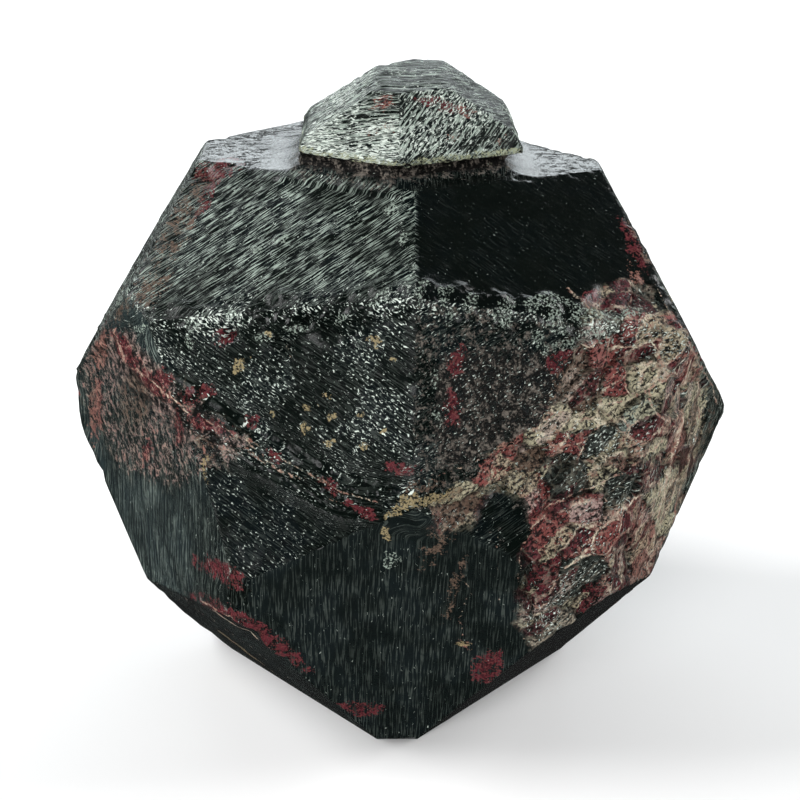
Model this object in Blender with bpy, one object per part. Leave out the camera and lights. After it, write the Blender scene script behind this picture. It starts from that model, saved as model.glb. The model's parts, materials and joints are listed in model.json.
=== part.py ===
"""A pyrope garnet crystal with a smaller crystal grown on its top, lying on its lower back face."""
import math
import random

import bmesh
import bpy
import numpy as np
from mathutils import Matrix, Vector, geometry, noise

# All sizes are in millimetres and are made metres at the end
MM = 0.001

# The set of the crystal: its four-fold axis leans back so that a lower back face is level
AXIS_TILT_DEG = math.degrees(math.atan(1 / math.sqrt(2)))
AXIS_LEAN_DEG = 1.2
AXIS_SPIN_DEG = 0.9
CENTRE_HEIGHT = 24.5

# Main crystal: each face by its indices and its distance from the centre
MAIN_FACES = {
    "upper_front_left": ((1, -2, 1), 25.5),
    "upper_front_right": ((2, -1, 1), 26.0),
    "middle_front_left": ((1, -2, -1), 25.9),
    "middle_front_right": ((2, -1, -1), 26.5),
    "upper_far_left": ((-1, -2, 1), 26.3),
    "upper_far_right": ((2, 1, 1), 26.1),
    "lower_far_left": ((-1, -2, -1), 24.3),
    "lower_far_right": ((2, 1, -1), 26.6),
    "upper_back_left": ((-2, -1, 1), 26.8),
    "upper_back_right": ((1, 2, 1), 26.0),
    "lower_back_left": ((-2, -1, -1), 27.8),
    "lower_back_right": ((1, 2, -1), 26.1),
    "back_left_top": ((-2, 1, 1), 26.2),
    "back_right_top": ((-1, 2, 1), 25.8),
    "back_left_low": ((-2, 1, -1), 25.7),
    "back_right_low": ((-1, 2, -1), 26.3),
    "shelf": ((1, -1, 2), 22.6),
    "top_left": ((-1, -1, 2), 27.2),
    "top_right": ((1, 1, 2), 24.6),
    "top_back": ((-1, 1, 2), 26.0),
    "bottom_front": ((1, -1, -2), 25.9),
    "bottom_left": ((-1, -1, -2), 26.0),
    "bottom_right": ((1, 1, -2), 26.4),
    "corner_low_left": ((0, -1, -1), 28.4),
    "corner_low_right": ((1, 0, -1), 28.4),
    "corner_back_left": ((-1, 0, -1), 29.0),
}

# Cap crystal, grown in the same direction on the shelf
CAP_FACES = {
    "upper_front_left": ((1, -2, 1), 27.0),
    "upper_front_right": ((2, -1, 1), 26.8),
    "upper_far_left": ((-1, -2, 1), 19.8),
    "upper_far_right": ((2, 1, 1), 21.1),
    "corner_top_left": ((0, -1, 1), 26.2),
    "corner_top_right": ((1, 0, 1), 27.1),
    "top_left": ((-1, -1, 2), 24.4),
    "top_right": ((1, 1, 2), 27.2),
    "top_front": ((1, -1, 2), 29.0),
    "top_back": ((-1, 1, 2), 21.0),
}
CAP_RIM = 24.3

# Neck below the rim of the cap: plan direction of each wall and its distance from the centre
NECK_WALLS = (
    (-121.5, 11.3),
    (-58.5, 11.0),
    (180.0, 7.9),
    (0.0, 9.1),
    (140.8, 9.4),
    (39.2, 13.0),
    (90.0, 12.2),
)
NECK_FLARE_DEG = 8.0
NECK_FOOT = 17.0
NECK_OVERLAP = 0.2

# The front view, from which places on the crystal are given: right and up from the centre
VIEW_RISE_DEG = 19.4
VIEW_FROM = 169.0

# Edges and mesh
WORN_EDGE = 1.1
FINE_STEP = 1.65
PLAIN_STEP = 3.3
FAR_STEP = 5.0
SMALLEST_EDGE = 0.25

# Relief
SWELL_SPAN = 9.0
SWELL_DEPTH = 0.13
CRUST_LUMPS = 34
CRUST_HEIGHT = 0.75
PIT_DEPTH = 0.8
LEDGE_DROP = 0.5
LEDGE_WIDTH = 1.8
STRAND_DEPTH = 0.1
BREAK_DEPTH = 1.0
BREAK_CELL = 4.6
FLAKE_DEPTH = 0.45

# The line where the striped ledge ends on the left, and the upper line of the broken zone
LEDGE_LINE = ((-26.5, 5.8), (-22.4, 1.2), (-18.3, -1.8), (-15.1, -3.8), (-9.6, -6.7), (-5.1, -9.3), (1.8, -10.2))
BREAK_LINE = ((1.8, -10.2), (6.8, -7.3), (9.5, -6.5), (15.0, -3.8), (19.6, -1.2), (23.3, 1.3), (27.2, 5.6))

# Pits left of the centre, and flakes off the edges: right, up, radius
PITS = ((-12.0, 8.2, 1.7), (-8.2, 7.6, 1.5), (-6.0, 6.4, 2.2), (-10.0, 4.9, 1.4), (-15.2, 5.9, 1.3), (-3.2, 6.6, 1.2))
FLAKES = ((-16.2, -15.8, 2.1), (-13.0, -21.5, 2.0), (-9.6, -23.6, 1.8), (-17.2, 20.3, 2.0),
          (19.2, 9.0, 1.9), (21.9, -14.6, 1.8), (6.3, -22.8, 1.3), (25.0, 3.8, 1.7))


def clear_scene():
    """Takes everything out of the scene."""
    for obj in list(bpy.data.objects):
        bpy.data.objects.remove(obj, do_unlink=True)
    for mesh in list(bpy.data.meshes):
        bpy.data.meshes.remove(mesh)


def crystal_turn():
    """The rotation that lays the crystal on its lower back face."""
    tilt = Matrix.Rotation(-math.radians(AXIS_TILT_DEG), 3, "X")
    spin = Matrix.Rotation(math.radians(AXIS_SPIN_DEG), 3, "Z")
    lean = Matrix.Rotation(math.radians(AXIS_LEAN_DEG), 3, "Y")
    return lean @ spin @ tilt


def face_normal(indices, turn):
    """The outward direction of a face, with the crystal's upright axis along Z before it is laid down."""
    h, k, l = indices
    half = math.sqrt(2)
    return (turn @ Vector(((h + k) / half, (k - h) / half, l))).normalized()


def solid_of_planes(planes):
    """A closed convex mesh: a large cube cut by each plane, given as outward normal and distance."""
    bm = bmesh.new()
    bmesh.ops.create_cube(bm, size=200.0)
    for normal, distance in planes:
        cut = bmesh.ops.bisect_plane(
            bm,
            geom=bm.verts[:] + bm.edges[:] + bm.faces[:],
            dist=1e-6,
            plane_co=normal * distance,
            plane_no=normal,
            clear_outer=True,
        )
        edges = [item for item in cut["geom_cut"] if isinstance(item, bmesh.types.BMEdge)]
        if edges:
            bmesh.ops.contextual_create(bm, geom=edges)
    bmesh.ops.remove_doubles(bm, verts=bm.verts[:], dist=SMALLEST_EDGE)
    bmesh.ops.recalc_face_normals(bm, faces=bm.faces[:])
    return bm


def add_object(name, bm):
    """An object made of a mesh under construction."""
    mesh = bpy.data.meshes.new(name)
    bm.to_mesh(mesh)
    bm.free()
    obj = bpy.data.objects.new(name, mesh)
    bpy.context.collection.objects.link(obj)
    return obj


def main_planes(turn):
    """The faces of the main crystal and the level it rests on."""
    planes = [(face_normal(indices, turn), distance) for indices, distance in MAIN_FACES.values()]
    planes.append((Vector((0, 0, -1)), CENTRE_HEIGHT))
    return planes


def cap_planes(turn):
    """The faces of the cap crystal and its under side."""
    planes = [(face_normal(indices, turn), distance) for indices, distance in CAP_FACES.values()]
    planes.append((-face_normal(MAIN_FACES["shelf"][0], turn), -CAP_RIM))
    return planes


def neck_planes(turn):
    """The walls between the shelf and the rim of the cap."""
    up = face_normal(MAIN_FACES["shelf"][0], turn)
    flare = math.radians(NECK_FLARE_DEG)
    planes = [(up, CAP_RIM + NECK_OVERLAP), (-up, -NECK_FOOT)]
    for direction_deg, distance in NECK_WALLS:
        direction = math.radians(direction_deg)
        flat = Vector((math.cos(direction), math.sin(direction), 0))
        normal = flat * math.cos(flare) + Vector((0, 0, math.sin(flare)))
        planes.append((normal, distance * math.cos(flare) + CAP_RIM * math.sin(flare)))
    return planes


def joined(base, others):
    """The mesh of one solid joined with the others."""
    for other in others:
        union = base.modifiers.new("join_" + other.name, "BOOLEAN")
        union.operation = "UNION"
        union.solver = "EXACT"
        union.object = other
    depsgraph = bpy.context.evaluated_depsgraph_get()
    bm = bmesh.new()
    bm.from_mesh(base.evaluated_get(depsgraph).data)
    for obj in [base] + others:
        bpy.data.objects.remove(obj, do_unlink=True)
    bmesh.ops.dissolve_limit(
        bm,
        angle_limit=math.radians(0.6),
        verts=bm.verts[:],
        edges=bm.edges[:],
    )
    bmesh.ops.remove_doubles(bm, verts=bm.verts[:], dist=0.02)
    bmesh.ops.recalc_face_normals(bm, faces=bm.faces[:])
    return bm


def crease_lines(bm):
    """Every edge of the plain solid with its ends, the mean direction of its faces and its turn."""
    lines = []
    for edge in bm.edges:
        one, two = edge.link_faces
        turn = one.normal.angle(two.normal)
        if turn < math.radians(1):
            continue
        sign = 1.0 if edge.is_convex else -1.0
        lines.append((edge.verts[0].co.copy(), edge.verts[1].co.copy(), (one.normal + two.normal).normalized(),
                      turn, sign))
    return lines


def front_place(point):
    """Where a point shows in the front view: right and up from the crystal's centre."""
    rise = math.radians(VIEW_RISE_DEG)
    near = -point.y * math.cos(rise) + point.z * math.sin(rise)
    up = point.y * math.sin(rise) + point.z * math.cos(rise)
    scale = VIEW_FROM / (VIEW_FROM - near)
    return Vector((point.x * scale, up * scale))


def smooth_step(low, high, value):
    """Rises from 0 to 1 between low and high."""
    t = min(max((value - low) / (high - low), 0.0), 1.0)
    return t * t * (3 - 2 * t)


def below_line(place, line):
    """How far a place lies below a line through the given points."""
    best = None
    for start, end in zip(line, line[1:]):
        a, b = Vector(start), Vector(end)
        share = min(max(geometry.intersect_point_line(place, a, b)[1], 0.0), 1.0)
        away = (place - a.lerp(b, share)).length
        side = (b - a).x * (place - a).y - (b - a).y * (place - a).x
        if best is None or away < abs(best):
            best = -away if side > 0 else away
    return best


def crust_centres():
    """Places of the lumps along the level edge across the front, most of them right of the centre."""
    rng = random.Random(11)
    lumps = []
    for index in range(CRUST_LUMPS):
        share = (index + rng.random()) / CRUST_LUMPS
        across = -21.0 + 42.5 * share ** 0.72
        middle = 9.4 - abs(across - 2.0) * 0.085
        up = middle - (rng.random() ** 1.3) * (3.6 if across > 3.0 else 2.0) + 0.6
        lumps.append((across, up, 0.75 + 0.75 * rng.random(), 0.5 + 0.5 * rng.random()))
    return lumps


def crust(place, lumps):
    """Rounded lumps of crust."""
    height = 0.0
    for across, up, radius, share in lumps:
        gap = math.hypot(place.x - across, place.y - up) / radius
        if gap < 1.6:
            height = max(height, CRUST_HEIGHT * share * (1 - smooth_step(0.2, 1.6, gap)))
    return height


def dents(place, spots, depth):
    """Round hollows with a flat floor."""
    low = 0.0
    for across, up, radius in spots:
        gap = math.hypot(place.x - across, place.y - up) / radius
        if gap < 1.0:
            low = max(low, depth * (1 - smooth_step(0.45, 1.0, gap)))
    return low


def broken(point, share):
    """Flat splinters at random slopes, each cell of the broken zone with a slope of its own."""
    warped = point + Vector((0.25 * point.z, 0.0, -0.35 * point.x))
    first = noise.voronoi(warped / BREAK_CELL)[1][0] * BREAK_CELL
    rng = random.Random(int(first.x * 131 + first.y * 57 + first.z * 17))
    lean = Vector((rng.uniform(-1, 1), rng.uniform(-1, 1), rng.uniform(-1, 1)))
    level = rng.uniform(-0.45, 0.25)
    height = level + 0.22 * lean.dot(warped - first)
    return BREAK_DEPTH * share * min(max(height, -1.0), 0.45)


def relief(point, lumps):
    """How far the surface stands out of its plane at a point of the front, or back into it."""
    place = front_place(point)
    swell = SWELL_DEPTH * noise.noise(point / SWELL_SPAN)
    swell += 0.4 * SWELL_DEPTH * noise.noise(point / SWELL_SPAN * 2.7)
    if point.y * math.cos(math.radians(VIEW_RISE_DEG)) > 4.0:
        return swell
    height = swell
    shelf_side = smooth_step(15.5, 17.5, place.y)
    below_left = below_line(place, LEDGE_LINE)
    below_right = below_line(place, BREAK_LINE)
    if place.x < 1.8:
        drop = smooth_step(-0.2, LEDGE_WIDTH, below_left)
        fade = 1 - smooth_step(6.0, 13.0, below_left)
        height -= LEDGE_DROP * drop * fade
        strands = smooth_step(-4.0, -0.8, below_left) * (1 - smooth_step(0.6, 2.5, below_left))
        height += STRAND_DEPTH * strands * math.sin(below_left * 4.2 + 1.3 * noise.noise(point / 4.0))
    else:
        share = smooth_step(-0.6, 1.2, below_right) * smooth_step(4.5, 8.5, place.x)
        share *= 1 - smooth_step(25.0, 27.0, place.x - 0.12 * place.y)
        share *= 1 - smooth_step(20.0, 24.0, -place.y)
        height += broken(point, share)
    height += crust(place, lumps) * (1 - shelf_side)
    height -= dents(place, PITS, PIT_DEPTH)
    return height


def step_at(point):
    """The longest edge wanted at a point: short where the surface is rough."""
    if point.y > 6.0 or point.z < -CENTRE_HEIGHT + 0.01:
        return FAR_STEP
    place = front_place(point)
    if place.y > 17.0:
        return 0.8 * PLAIN_STEP
    below_right = below_line(place, BREAK_LINE)
    below_left = below_line(place, LEDGE_LINE)
    rough = (
        (abs(place.y - 8.0) < 3.0 and abs(place.x) < 26.0)
        or (place.x > 3.0 and -1.0 < below_right and place.y > -22.0)
        or (place.x <= 3.0 and -4.0 < below_left < 2.5)
    )
    return FINE_STEP if rough else PLAIN_STEP


def refine(bm):
    """Halves the edges that are too long, over and over."""
    bmesh.ops.triangulate(bm, faces=bm.faces[:])
    for _ in range(12):
        long_edges = []
        for edge in bm.edges:
            middle = (edge.verts[0].co + edge.verts[1].co) / 2
            if edge.calc_length() > step_at(middle):
                long_edges.append(edge)
        if not long_edges:
            break
        bmesh.ops.subdivide_edges(bm, edges=long_edges, cuts=1)
        bmesh.ops.triangulate(bm, faces=bm.faces[:])
        flat = [edge for edge in bm.edges if edge.calc_face_angle(0) < math.radians(0.1)]
        bmesh.ops.beautify_fill(bm, faces=bm.faces[:], edges=flat)


def crease_gaps(points, lines):
    """For every point its distance from every crease."""
    a = np.array([line[0] for line in lines])
    b = np.array([line[1] for line in lines])
    run = b - a
    share = np.einsum("pex,ex->pe", points[:, None, :] - a[None], run) / (run ** 2).sum(1)
    share = np.clip(share, 0.0, 1.0)
    foot = a[None] + share[..., None] * run[None]
    return np.linalg.norm(points[:, None, :] - foot, axis=2)


def carve(bm, lines):
    """Gives every face its relief and wears down the edges."""
    lumps = crust_centres()
    bm.normal_update()
    points = np.array([vert.co for vert in bm.verts])
    gaps = crease_gaps(points, lines)
    moves = []
    for vert, row in zip(bm.verts, gaps):
        nearest = float(row.min())
        inner = smooth_step(0.0, 1.3, nearest)
        place = front_place(vert.co)
        move = vert.normal * relief(vert.co, lumps) * inner
        move -= vert.normal * dents(place, FLAKES, FLAKE_DEPTH) * (1.0 if vert.co.y < 2.0 else 0.0)
        for index in np.nonzero(row < 1.6)[0]:
            start, end, mean, turn, sign = lines[index]
            wear = WORN_EDGE * (1 + 0.7 * noise.noise(vert.co / 3.1))
            reach = max(wear * math.tan(turn / 2) * 1.6, 0.3)
            share = max(1 - float(row[index]) / reach, 0.0)
            depth = wear * (1 / math.cos(turn / 2) - 1)
            move -= mean * (sign * min(depth, 0.35) * share ** 2)
        moves.append(move)
    floor = -CENTRE_HEIGHT
    for vert, move in zip(bm.verts, moves):
        if vert.co.z < floor + 1e-4:
            continue
        vert.co += move
        vert.co.z = max(vert.co.z, floor + 0.05)


def garnet_material():
    """Very dark greenish black, glossy stone."""
    material = bpy.data.materials.new("garnet_stone")
    material.use_nodes = True
    shader = material.node_tree.nodes["Principled BSDF"]
    shader.inputs["Base Color"].default_value = (0.035, 0.04, 0.037, 1.0)
    shader.inputs["Roughness"].default_value = 0.38
    shader.inputs["Metallic"].default_value = 0.0
    material.diffuse_color = (0.035, 0.04, 0.037, 1.0)
    return material


def build_crystal():
    """The main crystal, the neck and the cap as one solid."""
    turn = crystal_turn()
    base = add_object("main_crystal", solid_of_planes(main_planes(turn)))
    neck = add_object("neck", solid_of_planes(neck_planes(turn)))
    cap = add_object("cap", solid_of_planes(cap_planes(turn)))
    bm = joined(base, [neck, cap])
    lines = crease_lines(bm)
    refine(bm)
    carve(bm, lines)
    bmesh.ops.translate(bm, verts=bm.verts[:], vec=(0, 0, CENTRE_HEIGHT))
    bmesh.ops.scale(bm, verts=bm.verts[:], vec=(MM, MM, MM))
    bmesh.ops.triangulate(bm, faces=bm.faces[:])
    bmesh.ops.recalc_face_normals(bm, faces=bm.faces[:])
    crystal = add_object("garnet_crystal", bm)
    crystal.data.materials.append(garnet_material())
    return crystal


clear_scene()
build_crystal()
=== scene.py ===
"""A pyrope garnet crystal with a cap crystal on its shelf: striped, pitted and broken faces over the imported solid."""
import json
import math
import random
from functools import partial, reduce

import bmesh
import bpy
import numpy as np
from bpy.props import FloatProperty, FloatVectorProperty, IntProperty, PointerProperty
from mathutils import Matrix, Vector, noise


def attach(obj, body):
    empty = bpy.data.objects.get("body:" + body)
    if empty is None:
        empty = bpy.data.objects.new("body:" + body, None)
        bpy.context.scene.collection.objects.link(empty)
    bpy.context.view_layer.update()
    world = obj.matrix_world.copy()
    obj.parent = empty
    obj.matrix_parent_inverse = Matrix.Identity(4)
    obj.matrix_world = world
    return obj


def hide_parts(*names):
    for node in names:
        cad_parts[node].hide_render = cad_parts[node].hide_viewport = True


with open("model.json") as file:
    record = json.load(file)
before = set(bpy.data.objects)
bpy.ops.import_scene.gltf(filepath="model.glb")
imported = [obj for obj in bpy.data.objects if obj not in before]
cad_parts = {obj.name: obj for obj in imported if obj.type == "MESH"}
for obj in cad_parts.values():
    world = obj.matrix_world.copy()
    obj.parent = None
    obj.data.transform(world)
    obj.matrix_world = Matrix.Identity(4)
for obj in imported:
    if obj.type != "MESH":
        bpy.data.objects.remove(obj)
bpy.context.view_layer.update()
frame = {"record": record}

bl_info = {
    "name": "Pyrope garnet crystal",
    "version": (1, 0, 0),
    "blender": (4, 5, 0),
    "location": "3D View > Sidebar > Garnet",
    "description": "Builds the surface of a pyrope garnet crystal and a plain stage for it",
    "category": "Object",
}

# Shapes are worked out in millimetres about the crystal's centre and are made metres at the end
MM = 0.001
CENTRE_HEIGHT = 24.5
STONE_COLOUR = tuple(frame["record"]["materials"][0]["base_color"])

# How the crystal lies: its four-fold axis leans back so that a lower back face is level
AXIS_TILT_DEG = math.degrees(math.atan(1 / math.sqrt(2)))
AXIS_LEAN_DEG = 1.2
AXIS_SPIN_DEG = 0.9

# Main crystal: each face by its indices and its distance from the centre
MAIN_FACES = {
    "upper_front_left": ((1, -2, 1), 25.5),
    "upper_front_right": ((2, -1, 1), 26.0),
    "middle_front_left": ((1, -2, -1), 25.9),
    "middle_front_right": ((2, -1, -1), 26.5),
    "upper_far_left": ((-1, -2, 1), 26.3),
    "upper_far_right": ((2, 1, 1), 26.1),
    "lower_far_left": ((-1, -2, -1), 24.3),
    "lower_far_right": ((2, 1, -1), 26.6),
    "upper_back_left": ((-2, -1, 1), 26.8),
    "upper_back_right": ((1, 2, 1), 26.0),
    "lower_back_left": ((-2, -1, -1), 27.8),
    "lower_back_right": ((1, 2, -1), 26.1),
    "back_left_top": ((-2, 1, 1), 26.2),
    "back_right_top": ((-1, 2, 1), 25.8),
    "back_left_low": ((-2, 1, -1), 25.7),
    "back_right_low": ((-1, 2, -1), 26.3),
    "shelf": ((1, -1, 2), 22.6),
    "top_left": ((-1, -1, 2), 27.2),
    "top_right": ((1, 1, 2), 24.6),
    "top_back": ((-1, 1, 2), 26.0),
    "bottom_front": ((1, -1, -2), 25.9),
    "bottom_left": ((-1, -1, -2), 26.0),
    "bottom_right": ((1, 1, -2), 26.4),
    "corner_low_left": ((0, -1, -1), 28.4),
    "corner_low_right": ((1, 0, -1), 28.4),
    "corner_back_left": ((-1, 0, -1), 29.0),
}

SHELF_LEVEL = MAIN_FACES["shelf"][1]

# Cap crystal, grown in the same direction on the shelf, and the height of its rim
CAP_FACES = {
    "upper_front_left": ((1, -2, 1), 27.0),
    "upper_front_right": ((2, -1, 1), 26.8),
    "upper_far_left": ((-1, -2, 1), 19.8),
    "upper_far_right": ((2, 1, 1), 21.1),
    "corner_top_left": ((0, -1, 1), 26.2),
    "corner_top_right": ((1, 0, 1), 27.1),
    "top_left": ((-1, -1, 2), 24.4),
    "top_right": ((1, 1, 2), 27.2),
    "top_front": ((1, -1, 2), 29.0),
    "top_back": ((-1, 1, 2), 21.0),
}
CAP_RIM = 24.3

# Stripes on the cap: the angle at which they rise to the right in the front view
CAP_STRIPES_DEG = {
    "upper_front_left": 3.0,
    "upper_front_right": 57.0,
    "upper_far_right": -62.0,
    "upper_far_left": 60.0,
    "corner_top_left": 34.0,
    "corner_top_right": 12.0,
    "top_front": 4.0,
    "top_left": 40.0,
    "top_right": -30.0,
}

# Share of stripes and flecks on the faces of the cap, which also sets the painted ridge highlight and the painted
# glints of each face
CAP_STRIPE_SHARES = {
    "upper_front_left": 1.25, "upper_front_right": 0.9, "upper_far_left": 0.7, "corner_top_left": 1.0,
    "corner_top_right": 0.6, "top_front": 0.6, "top_left": 0.8, "top_right": 0.6, "top_back": 0.5,
}

# Neck below the rim of the cap: plan direction of each wall and its distance from the centre
NECK_WALLS = (
    (-121.5, 11.3),
    (-58.5, 11.0),
    (180.0, 7.9),
    (0.0, 9.1),
    (140.8, 9.4),
    (39.2, 13.0),
    (90.0, 12.2),
)
NECK_FLARE_DEG = 8.0
NECK_FOOT = 17.0
NECK_OVERLAP = 0.2
NECK_FOOT_RISE = 0.8

# The front view, in a frame of 800 by 800: its camera, its scale at the crystal's centre and where that centre shows
VIEW_RISE = math.radians(19.43)
TOWARDS_VIEW = (0.0, -math.cos(VIEW_RISE), math.sin(VIEW_RISE))
UP_IN_VIEW = (0.0, math.sin(VIEW_RISE), math.cos(VIEW_RISE))
VIEW_FROM = 168.75
VIEW_SCALE = 10.945
VIEW_MIDDLE = (395.5, 398.4)
VIEW_FRAME = 800.0
SENSOR_WIDTH = 36.0
NEAREST_SEEN = 0.001

# Look of each face: share of flecks (pale grains with painted glints), of stripes (whose ridges get a painted
# highlight), of dull weathering and of polish
FACE_LOOKS = {
    "upper_front_left": (0.20, 1.0, 0.10, 0.0),
    "upper_front_right": (0.05, 0.06, 0.0, 0.8),
    "middle_front_left": (0.33, 0.10, 0.03, 0.1),
    "middle_front_right": (0.24, 0.10, 0.40, 0.0),
    "upper_far_left": (0.20, 0.8, 0.3, 0.0),
    "upper_far_right": (0.14, 0.8, 0.25, 0.2),
    "lower_far_left": (0.10, 0.55, 0.05, 0.2),
    "lower_far_right": (0.22, 0.9, 0.35, 0.0),
    "shelf": (0.12, 0.2, 0.0, 0.9),
    "bottom_front": (0.13, 0.24, 0.05, 0.3),
    "bottom_left": (0.03, 0.4, 0.0, 0.5),
    "bottom_right": (0.03, 0.4, 0.0, 0.7),
    "upper_back_left": (0.20, 0.5, 0.2, 0.0),
    "upper_back_right": (0.06, 0.4, 0.0, 0.6),
    "back_left_top": (0.25, 0.4, 0.3, 0.0),
    "back_right_top": (0.10, 0.35, 0.0, 0.4),
    "top_left": (0.12, 0.5, 0.1, 0.5),
    "top_right": (0.12, 0.5, 0.1, 0.5),
}
PLAIN_LOOK = (0.20, 0.32, 0.15, 0.2)

# Stripes on faces of the main crystal that don't follow its own directions, by their rise in the front view
MAIN_STRIPES_DEG = {"upper_far_right": -60.0, "lower_far_right": 74.0}

# Share of a painted bluish grey sheen on some faces, standing in for their reflection of the pale surroundings
PAINTED_SHEEN_SHARES = {"lower_far_left": 1.0, "bottom_front": 0.3, "bottom_left": 0.5}

# How many times longer the stripes of some faces are
STRIPE_LENGTHS = {
    "lower_far_left": 3.0, "bottom_front": 1.5, "bottom_left": 2.0, "lower_far_right": 2.5,
    "upper_far_right": 2.0,
}

# Each crystal's stripe spacing and depth, fleck size and stretch, roughness and specular level of bare stone
MAIN_FINISH = (1.0, 0.035, 0.15, 2.4, 0.26, 0.08)
CAP_FINISH = (1.45, 0.04, 0.13, 5.0, 0.45, 0.03)
GARNET_IOR = 1.74

# Relief of the whole crystal
SWELL_SPAN = 9.0
SWELL_DEPTH = 0.13
CRUST_LUMPS = 34
PIT_DEPTH = 0.8
LEDGE_DROP = 0.5
LEDGE_WIDTH = 1.8
FLAKE_DEPTH = 0.45

# Making of the meshes: the cube they are cut from, their edges, and the most triangles that a piece may have
START_CUBE = 200.0
SMALLEST_EDGE = 0.25
HALVINGS = 14
EVEN_BELOW = 60000
HIDDEN_STEP = 3.0
SHARP_TURN_DEG = 24
MOST_TRIANGLES = 200000

# A distance that nothing reaches, the smallest share that counts, and how far veins are felt in the front view
FAR = 1e9
LEAST_SHARE = 0.02
VEIN_REACH = 30.0

# The line where the striped ledge ends on the left, and its run on the right through the broken zone
FALL_LINE = (
    (105, 335), (150, 385), (195, 418), (230, 440), (290, 472), (340, 500), (415, 510),
    (470, 478), (500, 469), (560, 440), (610, 411), (650, 384), (693, 337),
)

# The level edge across the front, where the crust sits, and its mean height
EQUATOR_LINE = (
    (100, 326), (150, 318), (210, 313), (320, 306), (417, 300), (500, 310), (560, 318), (620, 326), (683, 335),
)
EQUATOR_HEIGHT = 320.0

# Pits and flakes, places in the front view with their radius
PITS = ((264, 309, 18), (306, 315, 17), (330, 328, 24), (286, 345, 15), (229, 334, 14), (360, 326, 13))
FLAKES = (
    (218, 571, 23), (253, 634, 22), (290, 657, 20), (207, 176, 20),
    (606, 300, 20), (635, 558, 20), (464, 648, 14), (669, 357, 19),
)

# Outlines of zones in the front view
BROKEN_ZONE = (
    (432, 508), (470, 478), (515, 440), (556, 402), (572, 360), (588, 302), (612, 286), (652, 286), (670, 312),
    (700, 350), (712, 395), (700, 450), (682, 505), (650, 590), (600, 625), (545, 668), (520, 625), (522, 570),
    (534, 522), (520, 492), (492, 490), (478, 524), (436, 532),
)
LEFT_ZONE = (
    (76, 330), (128, 326), (168, 372), (215, 412), (252, 440), (226, 470), (170, 492), (118, 478), (88, 430),
    (72, 395),
)
RIGHT_DULL_ZONE = ((432, 345), (520, 338), (590, 350), (580, 410), (520, 446), (440, 486), (424, 430))
LOW_BROWN_ZONE = ((418, 510), (520, 560), (500, 640), (440, 600), (408, 560))

# Splinters of the broken zone: place, angle of rise to the right, stretch, kind and level
SPLINTERS = (
    (609, 298, 10, 1.6, "red", 0.1), (640, 325, 25, 1.5, "window", 0.2), (672, 350, -50, 2.0, "red", 0.3),
    (694, 367, -60, 1.3, "window", 0.0), (640, 352, 60, 1.3, "red", -0.3), (641, 373, 70, 1.2, "cream", 0.1),
    (657, 383, -60, 1.8, "cream", 0.0), (619, 384, 60, 1.7, "window", 0.2), (676, 400, -30, 1.5, "red", -0.3),
    (637, 418, 55, 1.5, "mint", 0.2), (642, 435, 22, 3.0, "window", 0.3), (648, 452, 25, 2.5, "cream", 0.1),
    (609, 442, 30, 1.6, "stone", -0.2), (617, 462, 25, 2.2, "cream", 0.2), (597, 474, 60, 1.4, "cream", 0.0),
    (624, 483, 60, 1.3, "stone", -0.2), (656, 465, 70, 1.5, "red", 0.0), (572, 446, 40, 2.2, "window", 0.1),
    (558, 466, 50, 2.8, "stone", -0.3), (580, 484, 50, 1.6, "stone", 0.0), (575, 507, 32, 1.9, "window", 0.2),
    (546, 533, 45, 1.8, "window", 0.1), (612, 528, 38, 3.0, "window", 0.3), (590, 573, 15, 1.8, "stone", -0.1),
    (623, 559, 60, 1.5, "red", -0.2), (645, 548, 80, 3.0, "salmon", 0.0), (545, 592, 80, 2.2, "red", 0.0),
    (568, 600, 40, 2.0, "stone", -0.2), (556, 617, 50, 1.8, "stone", 0.1), (600, 594, 35, 2.2, "red", 0.0),
    (545, 428, 27, 3.0, "cream", 0.2), (507, 446, 27, 3.0, "window", 0.1), (493, 470, 25, 2.0, "window", 0.0),
    (530, 472, 35, 2.0, "rust", 0.0), (536, 487, 80, 1.5, "window", 0.1), (498, 510, 85, 2.0, "stone", -0.2),
    (515, 555, 88, 2.5, "stone", -0.2), (590, 420, 30, 2.0, "cream", 0.1), (578, 366, 60, 1.5, "rust", 0.0),
    (600, 350, 45, 1.5, "window", 0.0), (588, 392, 70, 1.6, "rust", 0.1), (604, 326, 20, 1.4, "stone", 0.2),
    (615, 406, 15, 2.0, "cream", 0.1), (678, 440, 75, 3.0, "salmon", 0.1), (694, 410, 75, 3.0, "cream", 0.0),
    (668, 495, 72, 3.0, "cream", 0.1), (655, 575, 70, 2.0, "salmon", 0.0), (470, 520, 60, 2.0, "rust", 0.0),
    (450, 492, 15, 2.5, "cream", 0.1), (440, 520, 20, 2.5, "rust", 0.1), (520, 630, 80, 2.0, "stone", 0.0),
    (650, 300, 60, 1.5, "stone", 0.0), (690, 470, 74, 3.0, "rust", 0.0), (545, 650, 40, 2.0, "stone", 0.0),
)
SPLINTER_KINDS = ("red", "window", "salmon", "cream", "mint", "rust", "stone")

# Finishes that only the main crystal has
MAIN_ONLY_SHARES = (
    "band", "window", "cream", "mint", "rust", "stone", "border", "crust", "ochre", "left", "zone", "painted_sheen",
    "polish",
)

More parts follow.
